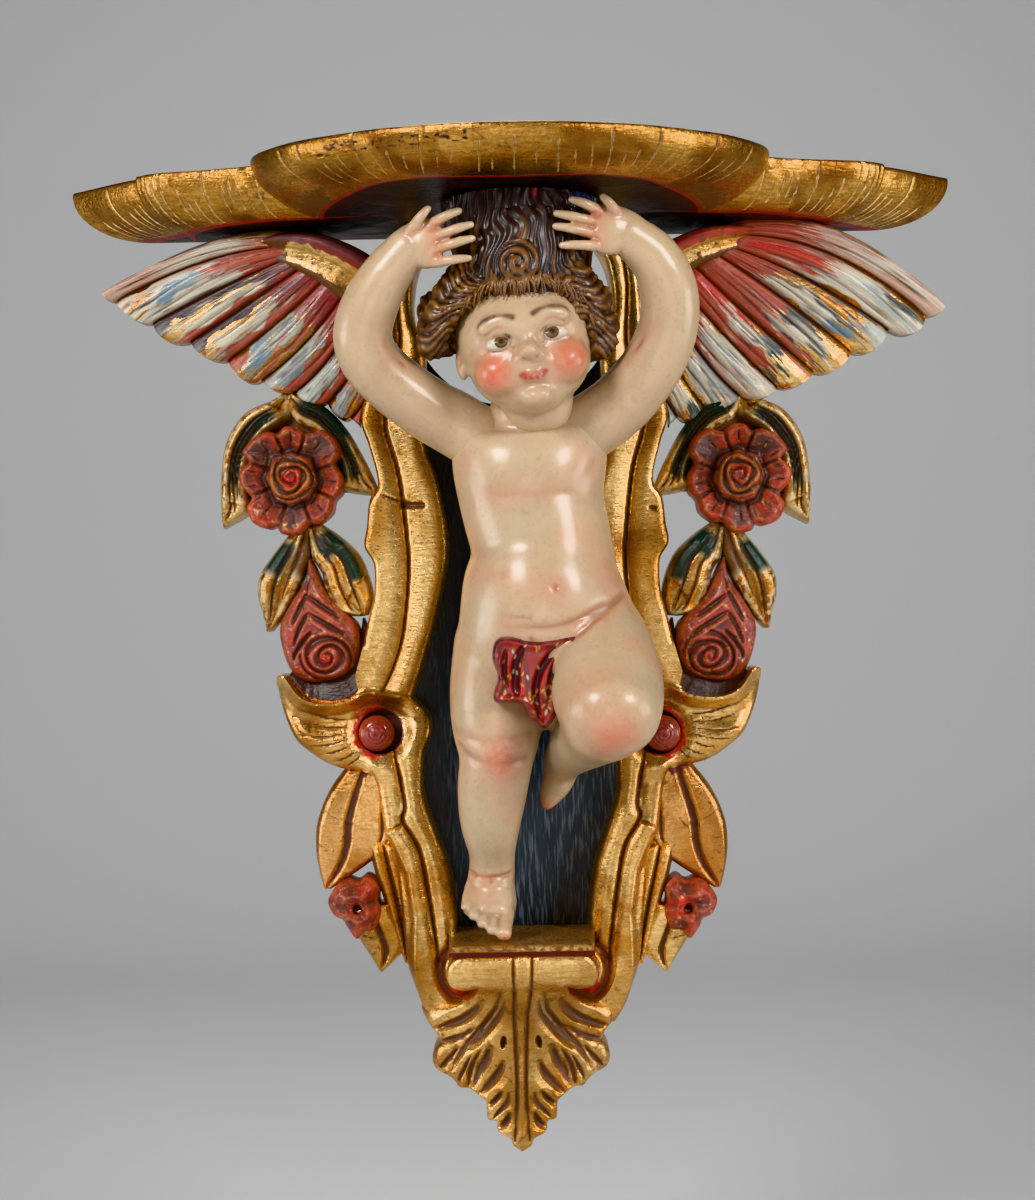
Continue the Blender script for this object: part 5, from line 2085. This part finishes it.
@dataclass
class Head:
    """Head of calm, plain child's proportions, modelled upright and then tilted."""

    centre: tuple[float, float, float] = (6.5, 92.0, 122.0)
    tilt: float = 10.0
    voxel: float = 0.62
    masses: Sequence[tuple] = (
        ((0, 0, 6), (33, 33, 30)), ((0, 3, -8), (29.5, 29, 24)), ((0, 10, -22), (17, 17, 12)),
        ((-14, 17, -12), (13.5, 12.5, 12)), ((14, 17, -12), (13.5, 12.5, 12)), ((0, 22, -26.5), (8, 8, 6)),
        ((0, 27.5, 8), (22, 6, 9)), ((0, 32.0, -6.2), (5.1, 7.2, 4.6)), ((0, 29.5, 0), (3.2, 4.4, 8)),
        ((-4.2, 30, -7), (3.2, 3.6, 3.0)), ((4.2, 30, -7), (3.2, 3.6, 3.0)),
        ((0, 28.6, -15.7), (5.6, 3.8, 1.8)), ((0, 28.2, -18.8), (4.6, 3.8, 2.1)),
        ((-32.5, -1, -4), (3, 6, 8)), ((32.5, -1, -4), (3, 6, 8)), ((0, -8, -24), (18, 16, 22)))
    eye: tuple[float, float, float] = (12.4, 26.0, 0.2)
    eye_radii: tuple[float, float, float] = (7.2, 4.8, 3.5)
    eye_white: tuple[float, float, float, float] = (0.62, 0.55, 0.42, 1.0)
    iris: Sequence[tuple] = (((0.012, 0.007, 0.005), 3.4), ((0.11, 0.062, 0.018), 2.8),
                             ((0.003, 0.003, 0.003), 1.5))

    def turned(self, place: Sequence[float]) -> Vector:
        """Tilts a place (x, depth, z) of the upright head into the corbel, with the depth along -Y."""
        place, centre = (Vector((x, -depth, z)) for x, depth, z in (place, self.centre))
        return Matrix.Rotation(math.radians(-self.tilt), 3, "Y") @ place + centre

    def ball(self, bm: bmesh.types.BMesh, place: Sequence[float], radii: Sequence[float],
             fine: int = 1) -> None:
        """Adds an egg-shaped mass."""
        turn = Matrix.Rotation(math.radians(-self.tilt), 4, "Y")
        bmesh.ops.create_uvsphere(bm, u_segments=40 * fine, v_segments=24 * fine, radius=1.0,
                                  matrix=Matrix.Translation(self.turned(place)) @ turn @ Matrix.Diagonal(
                                      (*radii, 1.0)))

    def at(self, *place: float) -> tuple[float, float, float]:
        """A turned place as (x, depth, z)."""
        x, y, z = self.turned(place)
        return x, -y, z

    def build(self) -> None:
        """Models and paints the head and its eyes."""
        bm = bmesh.new()
        for place, radii in self.masses:
            self.ball(bm, place, radii)
        skin = Clay(bm, self.voxel, SKIN)
        fine = np.maximum(skin.near([self.at(0, 32, -16)], 9.0), skin.near([self.at(0, 34, -5)], 7.0))
        skin.smooth(60, 1.0 - 0.86 * fine)
        skin.smooth(4)
        x, depth, z = self.eye
        for side in BOTH:
            skin.press([self.at(side * x, depth + 3, z)], 8.0, 2.2)
            skin.press([self.at(side * (x - 6), depth + 4, z + 9.0), self.at(side * x, depth + 3.6, z + 10.4),
                        self.at(side * (x + 8), depth, z + 8.0)], 3.2, -0.8)
            skin.press([self.at(side * 2.6, 33, -9.3)], 1.1, 0.9, CREASE, 0.35)
            skin.press([self.at(side * 7.4, 29, -6.0), self.at(side * 10.5, 28, -11.0),
                        self.at(side * 12, 27, -16.0)], 2.4, 0.7)
            skin.press([self.at(side * 33, 3, -3)], 2.4, 1.4, CREASE, 0.5)
        skin.press([self.at(-6.5, 31, -17.0), self.at(-2.6, 33, -17.5), self.at(0, 33.4, -17.1),
                    self.at(2.6, 33, -17.5), self.at(6.5, 31, -17.0)], 0.8, 0.9, MOUTH, 0.9)
        skin.press([self.at(0, 33, -12.6)], 1.3, 0.5)
        skin.press([self.at(-5, 29, -22.6), self.at(0, 31, -23.2), self.at(5, 29, -22.6)], 2.2, 0.8)
        self.paint(skin)
        skin.dress("angel_head", SKIN_PAINT, ["angel"], rounds=8)
        for side in BOTH:
            self.eyeball(side)

    def paint(self, skin: Clay) -> None:
        """Paints cheeks, lips, lids, brows and the wisps at the hairline.

        Args:
            skin: The skin of the head.
        """
        for side in BOTH:
            skin.paint(BLUSH, skin.near([self.at(side * 19.5, 27, -12)], 10.5) * 0.85)
            skin.paint(CHEEK, skin.near([self.at(side * 20, 27, -13)], 7.5) * 0.7)
            brow = [self.at(side * 5.0, 33, 10.6), self.at(side * 12, 32.5, 13.2),
                    self.at(side * 21, 26.5, 10.2)]
            skin.paint(BROW, np.clip(skin.near(brow, 1.3) * 1.6, 0, 1) * 0.95)
            lid = [self.at(side * 5.4, 29.5, -0.9), self.at(side * 8.4, 31, 2.3),
                   self.at(side * 12.6, 31.5, 3.6),
                   self.at(side * 17.0, 29.6, 2.4), self.at(side * 20.0, 26.5, -0.4)]
            skin.press(lid, 1.3, -1.5)
            skin.paint(LASH, np.clip(skin.near(lid, 0.95) * 1.8, 0, 1))
            under = [self.at(side * 5.8, 29.5, -1.6), self.at(side * 9, 30.6, -3.2),
                     self.at(side * 12.8, 30.8, -3.8),
                     self.at(side * 16.8, 29.0, -2.8), self.at(side * 19.6, 26.5, -0.9)]
            skin.press(under, 1.1, -1.0)
            skin.paint(LOWER_LID, np.clip(skin.near(under, 0.9) * 1.3, 0, 1) * 0.6)
            fold = [self.at(side * 6.5, 30, 5.0), self.at(side * 12.4, 31, 7.4),
                    self.at(side * 18.5, 28, 4.8)]
            skin.press(fold, 0.9, 0.5, CREASE, 0.4)
        upper = [self.at(-6.0, 30, -17.0), self.at(-2.6, 33, -15.6), self.at(0, 33.4, -16.1),
                 self.at(2.6, 33, -15.6),
                 self.at(6.0, 30, -17.0)]
        lower = [self.at(-4.6, 30.5, -18.4), self.at(0, 33, -19.4), self.at(4.6, 30.5, -18.4)]
        for line, width in ((upper, 1.2), (lower, 1.7)):
            skin.paint(LIP, np.clip(skin.near(line, width) * 1.7, 0, 1))
        rng = np.random.default_rng(9)
        front = skin.co[:, 1] < -self.centre[1] - 14.0
        for at in np.linspace(-25, 33, 40):
            low = float(table(HAIRLINE, np.array([at]))[0])
            foot = (at + 0.08 * (at - 3.0) + rng.uniform(-2.0, 2.0), low - rng.uniform(1.0, 5.0))
            gap = distance(skin.co[:, (0, 2)], np.array([(at, low + 3.0), foot]))[0]
            skin.paint(WISP, (1 - ease(gap, 0.2, 0.75)) * front * 0.8)
        skin.paint(BLUSH, skin.near([self.at(0, 31, -27)], 4.0) * 0.25)
        skin.paint(BLUSH, skin.near([self.at(0, 38, -6)], 4.0) * 0.2)
        skin.paint(CREASE, skin.near([self.at(0, 24, -33), self.at(-16, 20, -27)], 3.0) * 0.25)

    def eyeball(self, side: Side) -> None:
        """Adds a painted eye.

        Args:
            side: Side of the face.
        """
        bm = bmesh.new()
        x, depth, z = self.eye
        self.ball(bm, (side * x, depth, z), self.eye_radii, 4)
        mesh = settle(bm, "eye")
        co = arrays_of(mesh)[0]
        look = np.array(self.turned((side * (x - 0.3), depth + self.eye_radii[1], z + 0.6)))
        gap = np.linalg.norm(co - look, axis=1)
        tint = np.tile(self.eye_white, (len(co), 1))
        for colour, radius in self.iris:
            stain(tint, colour, 1 - ease(gap, radius - 0.3, radius + 0.1))
        lash = np.array(self.turned((0.0, depth, z + 2.6)))
        across = np.array(self.turned((0.0, depth, z + 3.6))) - lash
        stain(tint, LASH, ease((co - lash) @ across, -0.3, 0.5))
        dress(mesh, f"{side.hand}_eye", SKIN_PAINT, ["angel"], tint)


@dataclass
class Hair:
    """Thick wavy hair under a gouged block that carries the shelf."""

    block: Points = ((4.5, 82, 200, 38.5, 36), (4.6, 82, 191, 37.5, 36), (5, 82, 180, 36, 36.5),
                     (6, 85, 165, 32, 37), (5, 87, 154, 31, 36), (4, 86, 145, 29, 33))
    rings: Sequence[tuple] = ((30, 110, 6.0, 16, 56), (35, 104, 7.5, 2, 58), (38, 96, 8.5, -8, 70),
                              (39, 86, 9.0, -8, 70), (36, 76, 9.0, -6, 74))
    middle: tuple[float, float] = (1.5, 129.0)
    curl: tuple[float, float] = (2.5, 157.5)

    def lumps(self) -> list[tuple]:
        """Places the soft curls round both sides of the head.

        Returns:
            Rows of (x, depth, z, radius).
        """
        rng = np.random.default_rng(5)
        rows = []
        for reach, depth, radius, low, high in self.rings:
            for degrees in np.arange(low, high, 13.0):
                for side in BOTH:
                    turn = math.radians(degrees + rng.uniform(-4, 4))
                    out = reach + rng.uniform(-2.0, 2.0) + (2.0 if side is Side.RIGHT else 0.0)
                    rows.append((self.middle[0] + side * out * math.cos(turn), depth + rng.uniform(-2, 2),
                                 self.middle[1] + out * math.sin(turn) * 0.86,
                                 radius * rng.uniform(0.85, 1.1)))
                    rng.uniform()  # a draw that keeps the next curl where it is
        return rows

    def build(self) -> None:
        """Carves the curls, the cap and the block with its spiral."""
        bm = bmesh.new()
        for x, depth, z, radius in self.lumps():
            bmesh.ops.create_icosphere(bm, subdivisions=3, radius=radius,
                                       matrix=Matrix.Translation((x, -depth, z)))
        bmesh.ops.create_uvsphere(bm, u_segments=48, v_segments=32, radius=1.0, matrix=(
            Matrix.Translation((3, -78, 140)) @ Matrix.Diagonal((37, 33, 30, 1.0))))
        hair = Clay(bm, 0.62, HAIR_BROWN)
        hair.smooth(8)
        x, y, z = hair.co.T
        dx, dz = x - self.middle[0], z - self.middle[1] - 4.0
        turn, reach = np.arctan2(dz, dx), np.hypot(dx, dz)
        sway = 0.085 * np.sin(reach * 0.30 + 2.0 * np.sin(turn * 3.0 + 0.5) - y * 0.06)
        locks = np.cos((turn + sway * 1.6) * 15.0 + 0.9 * np.sin(y * 0.11))
        wave = 0.75 * np.cos((turn + sway) * 58.0 + 1.4 * np.sin(y * 0.17 + turn * 5.0)) + 0.8 * locks
        hair.co += hair.normals * (wave * 0.62)[:, None]
        hair.refresh()
        hair.smooth(1)
        hair.paint((0.24, 0.105, 0.03), ease(wave, 0.2, 1.3) * 0.6)
        hair.paint((0.035, 0.018, 0.013), ease(-wave, 0.2, 1.2) * 0.7)
        hair.paint((0.30, 0.13, 0.028), ease(-reach, -33.0, -26.0) * ease(wave, -0.2, 0.9) * 0.6)
        hair.paint((0.055, 0.038, 0.036),
                   ease(reach, 36.0, 50.0) * ease(np.sin(x * 0.4 + z * 0.5), -0.4, 0.9) * 0.6)
        hair.dress("angel_hair", HAIR_PAINT, ["angel"], rounds=5)
        self.hair_block()
        self.fringe()

    def hair_block(self) -> None:
        """Carves the block of vertical wavy strands with a spiral curl in front."""
        bm = bmesh.new()
        tube(bm, self.block, 360, 0.7, ends=(0.0, 0.3))
        mesh = settle(bm, "block")
        co, normals, _ = arrays_of(mesh)
        x, y, z = co.T
        across, up = x - self.curl[0], z - self.curl[1]
        swirl, turn = np.hypot(across, up), np.arctan2(up, across)
        front = y < -96
        curl = (1 - ease(swirl, 9.5, 11.5)) * front
        angle = np.arctan2(-(y + 83.0), x - 5.0)
        angle -= (angle - math.pi / 2) * 0.55 * np.exp(-(swirl / 15.0) ** 2) * front
        bend = (0.055 * np.sin(z * 0.16 + 1.0 + angle * 3) + 0.03 * np.sin(z * 0.34 + angle * 7)
                - 0.25 * (angle - math.pi / 2) * ease(-z, -165.0, -145.0) * front)
        strands = np.cos((angle + bend) * 47.0) + 0.7 * np.cos((angle - bend * 0.5) * 19.0 + 1.0)
        spiral = np.cos(2 * math.pi * (swirl / 4.6 - turn / (2 * math.pi)))
        rise = strands * 0.62 * (1 - curl) + curl * (spiral * 1.1 + 1.6 * (1 - ease(swirl, 4.0, 11.5)))
        flat = ease(z, 199.0, 198.0)
        co += normals * (rise * flat)[:, None]
        co[:, 2] = np.minimum(co[:, 2], 186.0 - 0.06 * co[:, 1])
        mesh.vertices.foreach_set("co", co.astype(np.float32).ravel())
        mesh.update()
        tint = np.tile((0.036, 0.020, 0.017, 1.0), (len(co), 1))
        stain(tint, (0.085, 0.066, 0.064), ease(strands, 0.5, 1.5) * ease(z, 168.0, 190.0) * 0.6)
        stain(tint, (0.15, 0.075, 0.03), ease(strands, 0.3, 1.4) * (1 - ease(z, 155.0, 178.0)) * 0.8)
        stain(tint, (0.22, 0.10, 0.03),
              ease(np.sin(angle * 9.0 + 1.4 + z * 0.03), 0.6, 0.98) * ease(-z, -186.0, -165.0) * 0.7)
        stain(tint, (0.20, 0.085, 0.025), curl * ease(spiral, 0.0, 0.9) * 0.9)
        stain(tint, (0.025, 0.012, 0.010), curl * ease(-spiral, 0.1, 0.9) * 0.9)
        stain(tint, (0.03, 0.015, 0.014), ease(-strands, 0.7, 1.5) * (1 - curl) * 0.8)
        stain(tint, (0.02, 0.05, 0.16), (1 - ease(np.hypot(x - 34.0, z - 190.0), 3.0, 7.0)) * front)
        stain(tint, (0.4, 0.02, 0.02), (1 - ease(np.hypot(x - 11.0, z - 191.0), 1.0, 2.0)) * front)
        dress(mesh, "hair_block", BLOCK_PAINT, ["angel"], tint, sharp=80.0, rounds=4)

    def fringe(self) -> None:
        """Adds fine pointed strands over the brow."""
        bm = bmesh.new()
        rng = np.random.default_rng(3)
        for at in np.linspace(-28, 35, 96):
            x = at + rng.uniform(-1.2, 1.2)
            low = float(table(HAIRLINE, np.array([x]))[0]) + rng.uniform(-0.6, 1.2)
            depth = 122.6 - 0.0145 * (x - 4.0) ** 2
            lean = 0.24 * (x - 3.0) + 3.2 * math.sin(at * 0.8 + 1.0) + rng.uniform(-1.4, 1.4)
            high = rng.uniform(3.5, 9.0)
            drop = rng.uniform(1.6, 4.2) if rng.uniform() < 0.75 else rng.uniform(4.2, 6.5)
            wide = rng.uniform(0.6, 1.1)
            over = min(depth, 86.5 + 35.8 * math.sqrt(max(0.0, 1 - ((x - 5) / 32.5) ** 2)))
            tube(bm, [(x - lean * 0.7, over - 0.9, low + high, 0.5, 0.4),
                      (x - lean * 0.1, (over + depth) / 2 + 0.3, low + 2.6, wide, wide),
                      (x + lean * 0.3, depth + 0.7, low + 0.4, wide * 0.8, wide * 0.7),
                      (x + lean * 0.6, depth + 0.1, low - drop, 0.25, 0.25)], 7, 1.5)
        mesh = settle(bm, "fringe")
        x = arrays_of(mesh)[0][:, 0]
        tint = np.tile((0.11, 0.052, 0.024, 1.0), (len(x), 1))
        stain(tint, (0.25, 0.12, 0.035), ease(np.sin(x * 2.1), 0.2, 1.0) * 0.7)
        dress(mesh, "fringe", HAIR_PAINT, ["angel"], tint, sharp=180.0)


@dataclass
class Cloth:
    """Small fall of red cloth over the hips, flecked with gold."""

    front: float = 106.5
    slope: Points = ((-62, 6.5), (-45, 3.0), (-17, 0.5))
    flecks: int = 30
    fleck_colours: Sequence[Colour] = ((0.62, 0.36, 0.08), (0.60, 0.52, 0.38), (0.05, 0.12, 0.05),
                                       (0.7, 0.3, 0.06))
    outline: Points = (
        (-10.8, -19.2), (-4.3, -17.2), (6.4, -19.5), (17.2, -18.6), (28, -17.7), (22.4, -30.5), (17.9, -43.4),
        (17.7, -54.1), (12.2, -61.5), (5.8, -57.2), (0.6, -49.5), (-10.2, -48.9), (-12.3, -45), (-10, -36.4),
        (-12.4, -27.8))
    folds: Sequence[tuple] = (
        (((25, -19.5), (13, -29), (8, -42), (9.5, -56)), 2.4, 2.6),
        (((20, -23), (15.5, -36), (13.5, -50)), 1.8, 1.8),
        (((2, -22), (-1.5, -32), (-1, -46)), 3.0, 3.0), (((-6, -23), (-7, -33), (-5.5, -42)), 1.8, 1.8))

    def build(self) -> None:
        """Carves and paints the cloth."""
        relief = Relief(spline(self.outline, 0.8, closed=True), 0.42, back=82.0)
        x, z = relief.places.T
        relief.raise_to(self.front - table(self.slope, z)).round_edge(2.2, 3.4)
        relief.depth += 1.1 * np.exp(-((relief.edge - 2.2) / 1.4) ** 2)
        relief.paint(CLOTH_RED, 1.0)
        relief.paint(CLOTH_LIGHT, ease(np.sin(x * 0.9 - z * 0.15), 0.3, 1.0) * 0.8)
        relief.paint(CLOTH_DARK, ease(np.sin(x * 0.5 + z * 0.23 + 2.0 * np.sin(z * 0.12)), 0.2, 1.0) * 0.7)
        relief.cut([Cut(spline(line), width, depth, CLOTH_FOLD) for line, width, depth in self.folds])
        rng = np.random.default_rng(11)
        for colour in self.fleck_colours:
            for _ in range(self.flecks):
                cx, cz, lean = rng.uniform(-12, 27), rng.uniform(-60, -18), rng.uniform(-0.9, 0.9)
                dx, dz = x - cx, z - cz
                across = dx * math.cos(lean) + dz * math.sin(lean)
                fleck = np.hypot(across, (dz * math.cos(lean) - dx * math.sin(lean)) * 0.4)
                relief.paint(colour, 1 - ease(fleck, 0.3, 0.65))
        relief.paint(CLOTH_HEM, 1 - ease(relief.edge, 1.6, 2.8))
        relief.dress("loincloth", CLOTH_PAINT, ["angel"])


# Studio


@dataclass
class Studio:
    """Pale sweep below and behind, six soft lights and the camera; sizes are metres."""

    distance: float = 1.25
    lens: float = 72.6
    roll: float = -1.0
    floor: float = -0.42
    wall: float = 2.2
    near_edge: float = 1.6
    bend: float = 0.7
    length: float = 6.0
    width: float = 26.0
    tone: Colour = (0.70, 0.70, 0.69)
    lamps: Sequence[tuple] = (
        ("key_light", (-0.8, -1.15, 0.7), 0.45, 15.5), ("fill_light", (0.95, -1.1, 0.55), 0.45, 12.0),
        ("front_light", (0.0, -2.0, -0.5), 1.0, 6.0), ("left_light", (-1.7, -0.5, -0.1), 0.9, 10.0),
        ("right_light", (1.7, -0.5, -0.1), 0.9, 10.0), ("back_light", (0.0, 0.7, 1.9), 1.4, 15.0))

    def sweep(self) -> None:
        """Adds the floor that curves up into the wall."""
        bm = bmesh.new()
        verts, u, v = grid(bm, 8, 60)
        run = v * self.length
        flat = self.wall - self.bend + self.near_edge
        turn = np.clip((run - flat) / self.bend, 0, math.pi / 2)
        y = np.where(run < flat, run - self.near_edge, self.wall - self.bend + self.bend * np.sin(turn))
        z = np.where(run < flat, self.floor, self.floor + self.bend * (1 - np.cos(turn))
                     + np.maximum(run - flat - self.bend * math.pi / 2, 0.0))
        for vert, x, b, c in zip(verts, (u - 0.5) * self.width, y, z):
            vert.co = (x, b, c)
        mesh = bpy.data.meshes.new("sweep")
        bm.to_mesh(mesh)
        bm.free()
        mesh.shade_smooth()
        made = bpy.data.materials.new("studio_paper")
        made.use_nodes = True
        shader = made.node_tree.nodes["Principled BSDF"]
        shader.inputs["Base Color"].default_value = rgba(self.tone)
        shader.inputs["Roughness"].default_value = 0.9
        mesh.materials.append(made)
        self.place(bpy.data.objects.new("sweep", mesh))

    def place(self, thing: bpy.types.Object) -> None:
        """Puts a piece of the studio in the scene."""
        bpy.context.scene.collection.objects.link(thing)
        thing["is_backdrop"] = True

    def light(self, name: str, place: Sequence[float], size: float, watts: float) -> None:
        """Adds a round soft light that faces the corbel.

        Args:
            name: Name of the light.
            place: Its place.
            size: Its diameter.
            watts: Its power.
        """
        lamp = bpy.data.lights.new(name, "AREA")
        lamp.shape, lamp.size, lamp.energy = "DISK", size, watts
        box = bpy.data.objects.new(name, lamp)
        box.location = place
        box.rotation_euler = Vector(place).to_track_quat("Z", "Y").to_euler()
        self.place(box)

    def build(self) -> None:
        """Adds sweep, lights, world and camera."""
        self.sweep()
        for name, place, size, watts in self.lamps:
            self.light(name, place, size, watts)
        world = bpy.data.worlds.new("studio")
        bpy.context.scene.world = world
        world.use_nodes = True
        ground = world.node_tree.nodes["Background"]
        ground.inputs["Color"].default_value = rgba((0.8, 0.85, 0.9))
        ground.inputs["Strength"].default_value = 0.12
        bpy.context.scene.view_settings.view_transform = "Khronos PBR Neutral"
        lens = bpy.data.cameras.new("view")
        lens.sensor_fit, lens.sensor_height, lens.lens = "VERTICAL", 36.0, self.lens
        camera = bpy.data.objects.new("view", lens)
        camera.location = (0.0, -self.distance, 0.0)
        camera.rotation_euler = (Matrix.Rotation(math.radians(90), 3, "X")
                                 @ Matrix.Rotation(math.radians(self.roll), 3, "Z")).to_euler()
        bpy.context.scene.collection.objects.link(camera)
        bpy.context.scene.camera = camera


def main() -> None:
    """Builds the corbel piece by piece, then the studio."""
    logging.basicConfig(level=logging.INFO, format="%(name)s %(message)s")
    Shelf().build()
    board, garland, berry = Board(), Garland(), Berry()
    for side in BOTH:
        board.carve(side)
        garland.build(side)
        berry.build(side)
    Pendant().build()
    Panel().build()
    LEFT_WING.build()
    RIGHT_WING.build()
    Body().build()
    for arm in ARMS:
        arm.build()
    Head().build()
    Hair().build()
    Cloth().build()
    Studio().build()
    {"cad": plain(CAD_BOX), "visual": plain(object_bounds())}


def plain(box: object) -> object:
    """Turns a box of vectors or tuples into plain lists.

    Args:
        box: The box, or a part of it.

    Returns:
        The same values in lists.
    """
    if isinstance(box, dict):
        return {key: plain(value) for key, value in box.items()}
    if isinstance(box, (int, float, str)):
        return box
    return [plain(value) for value in box]


if __name__ == "__main__":
    main()
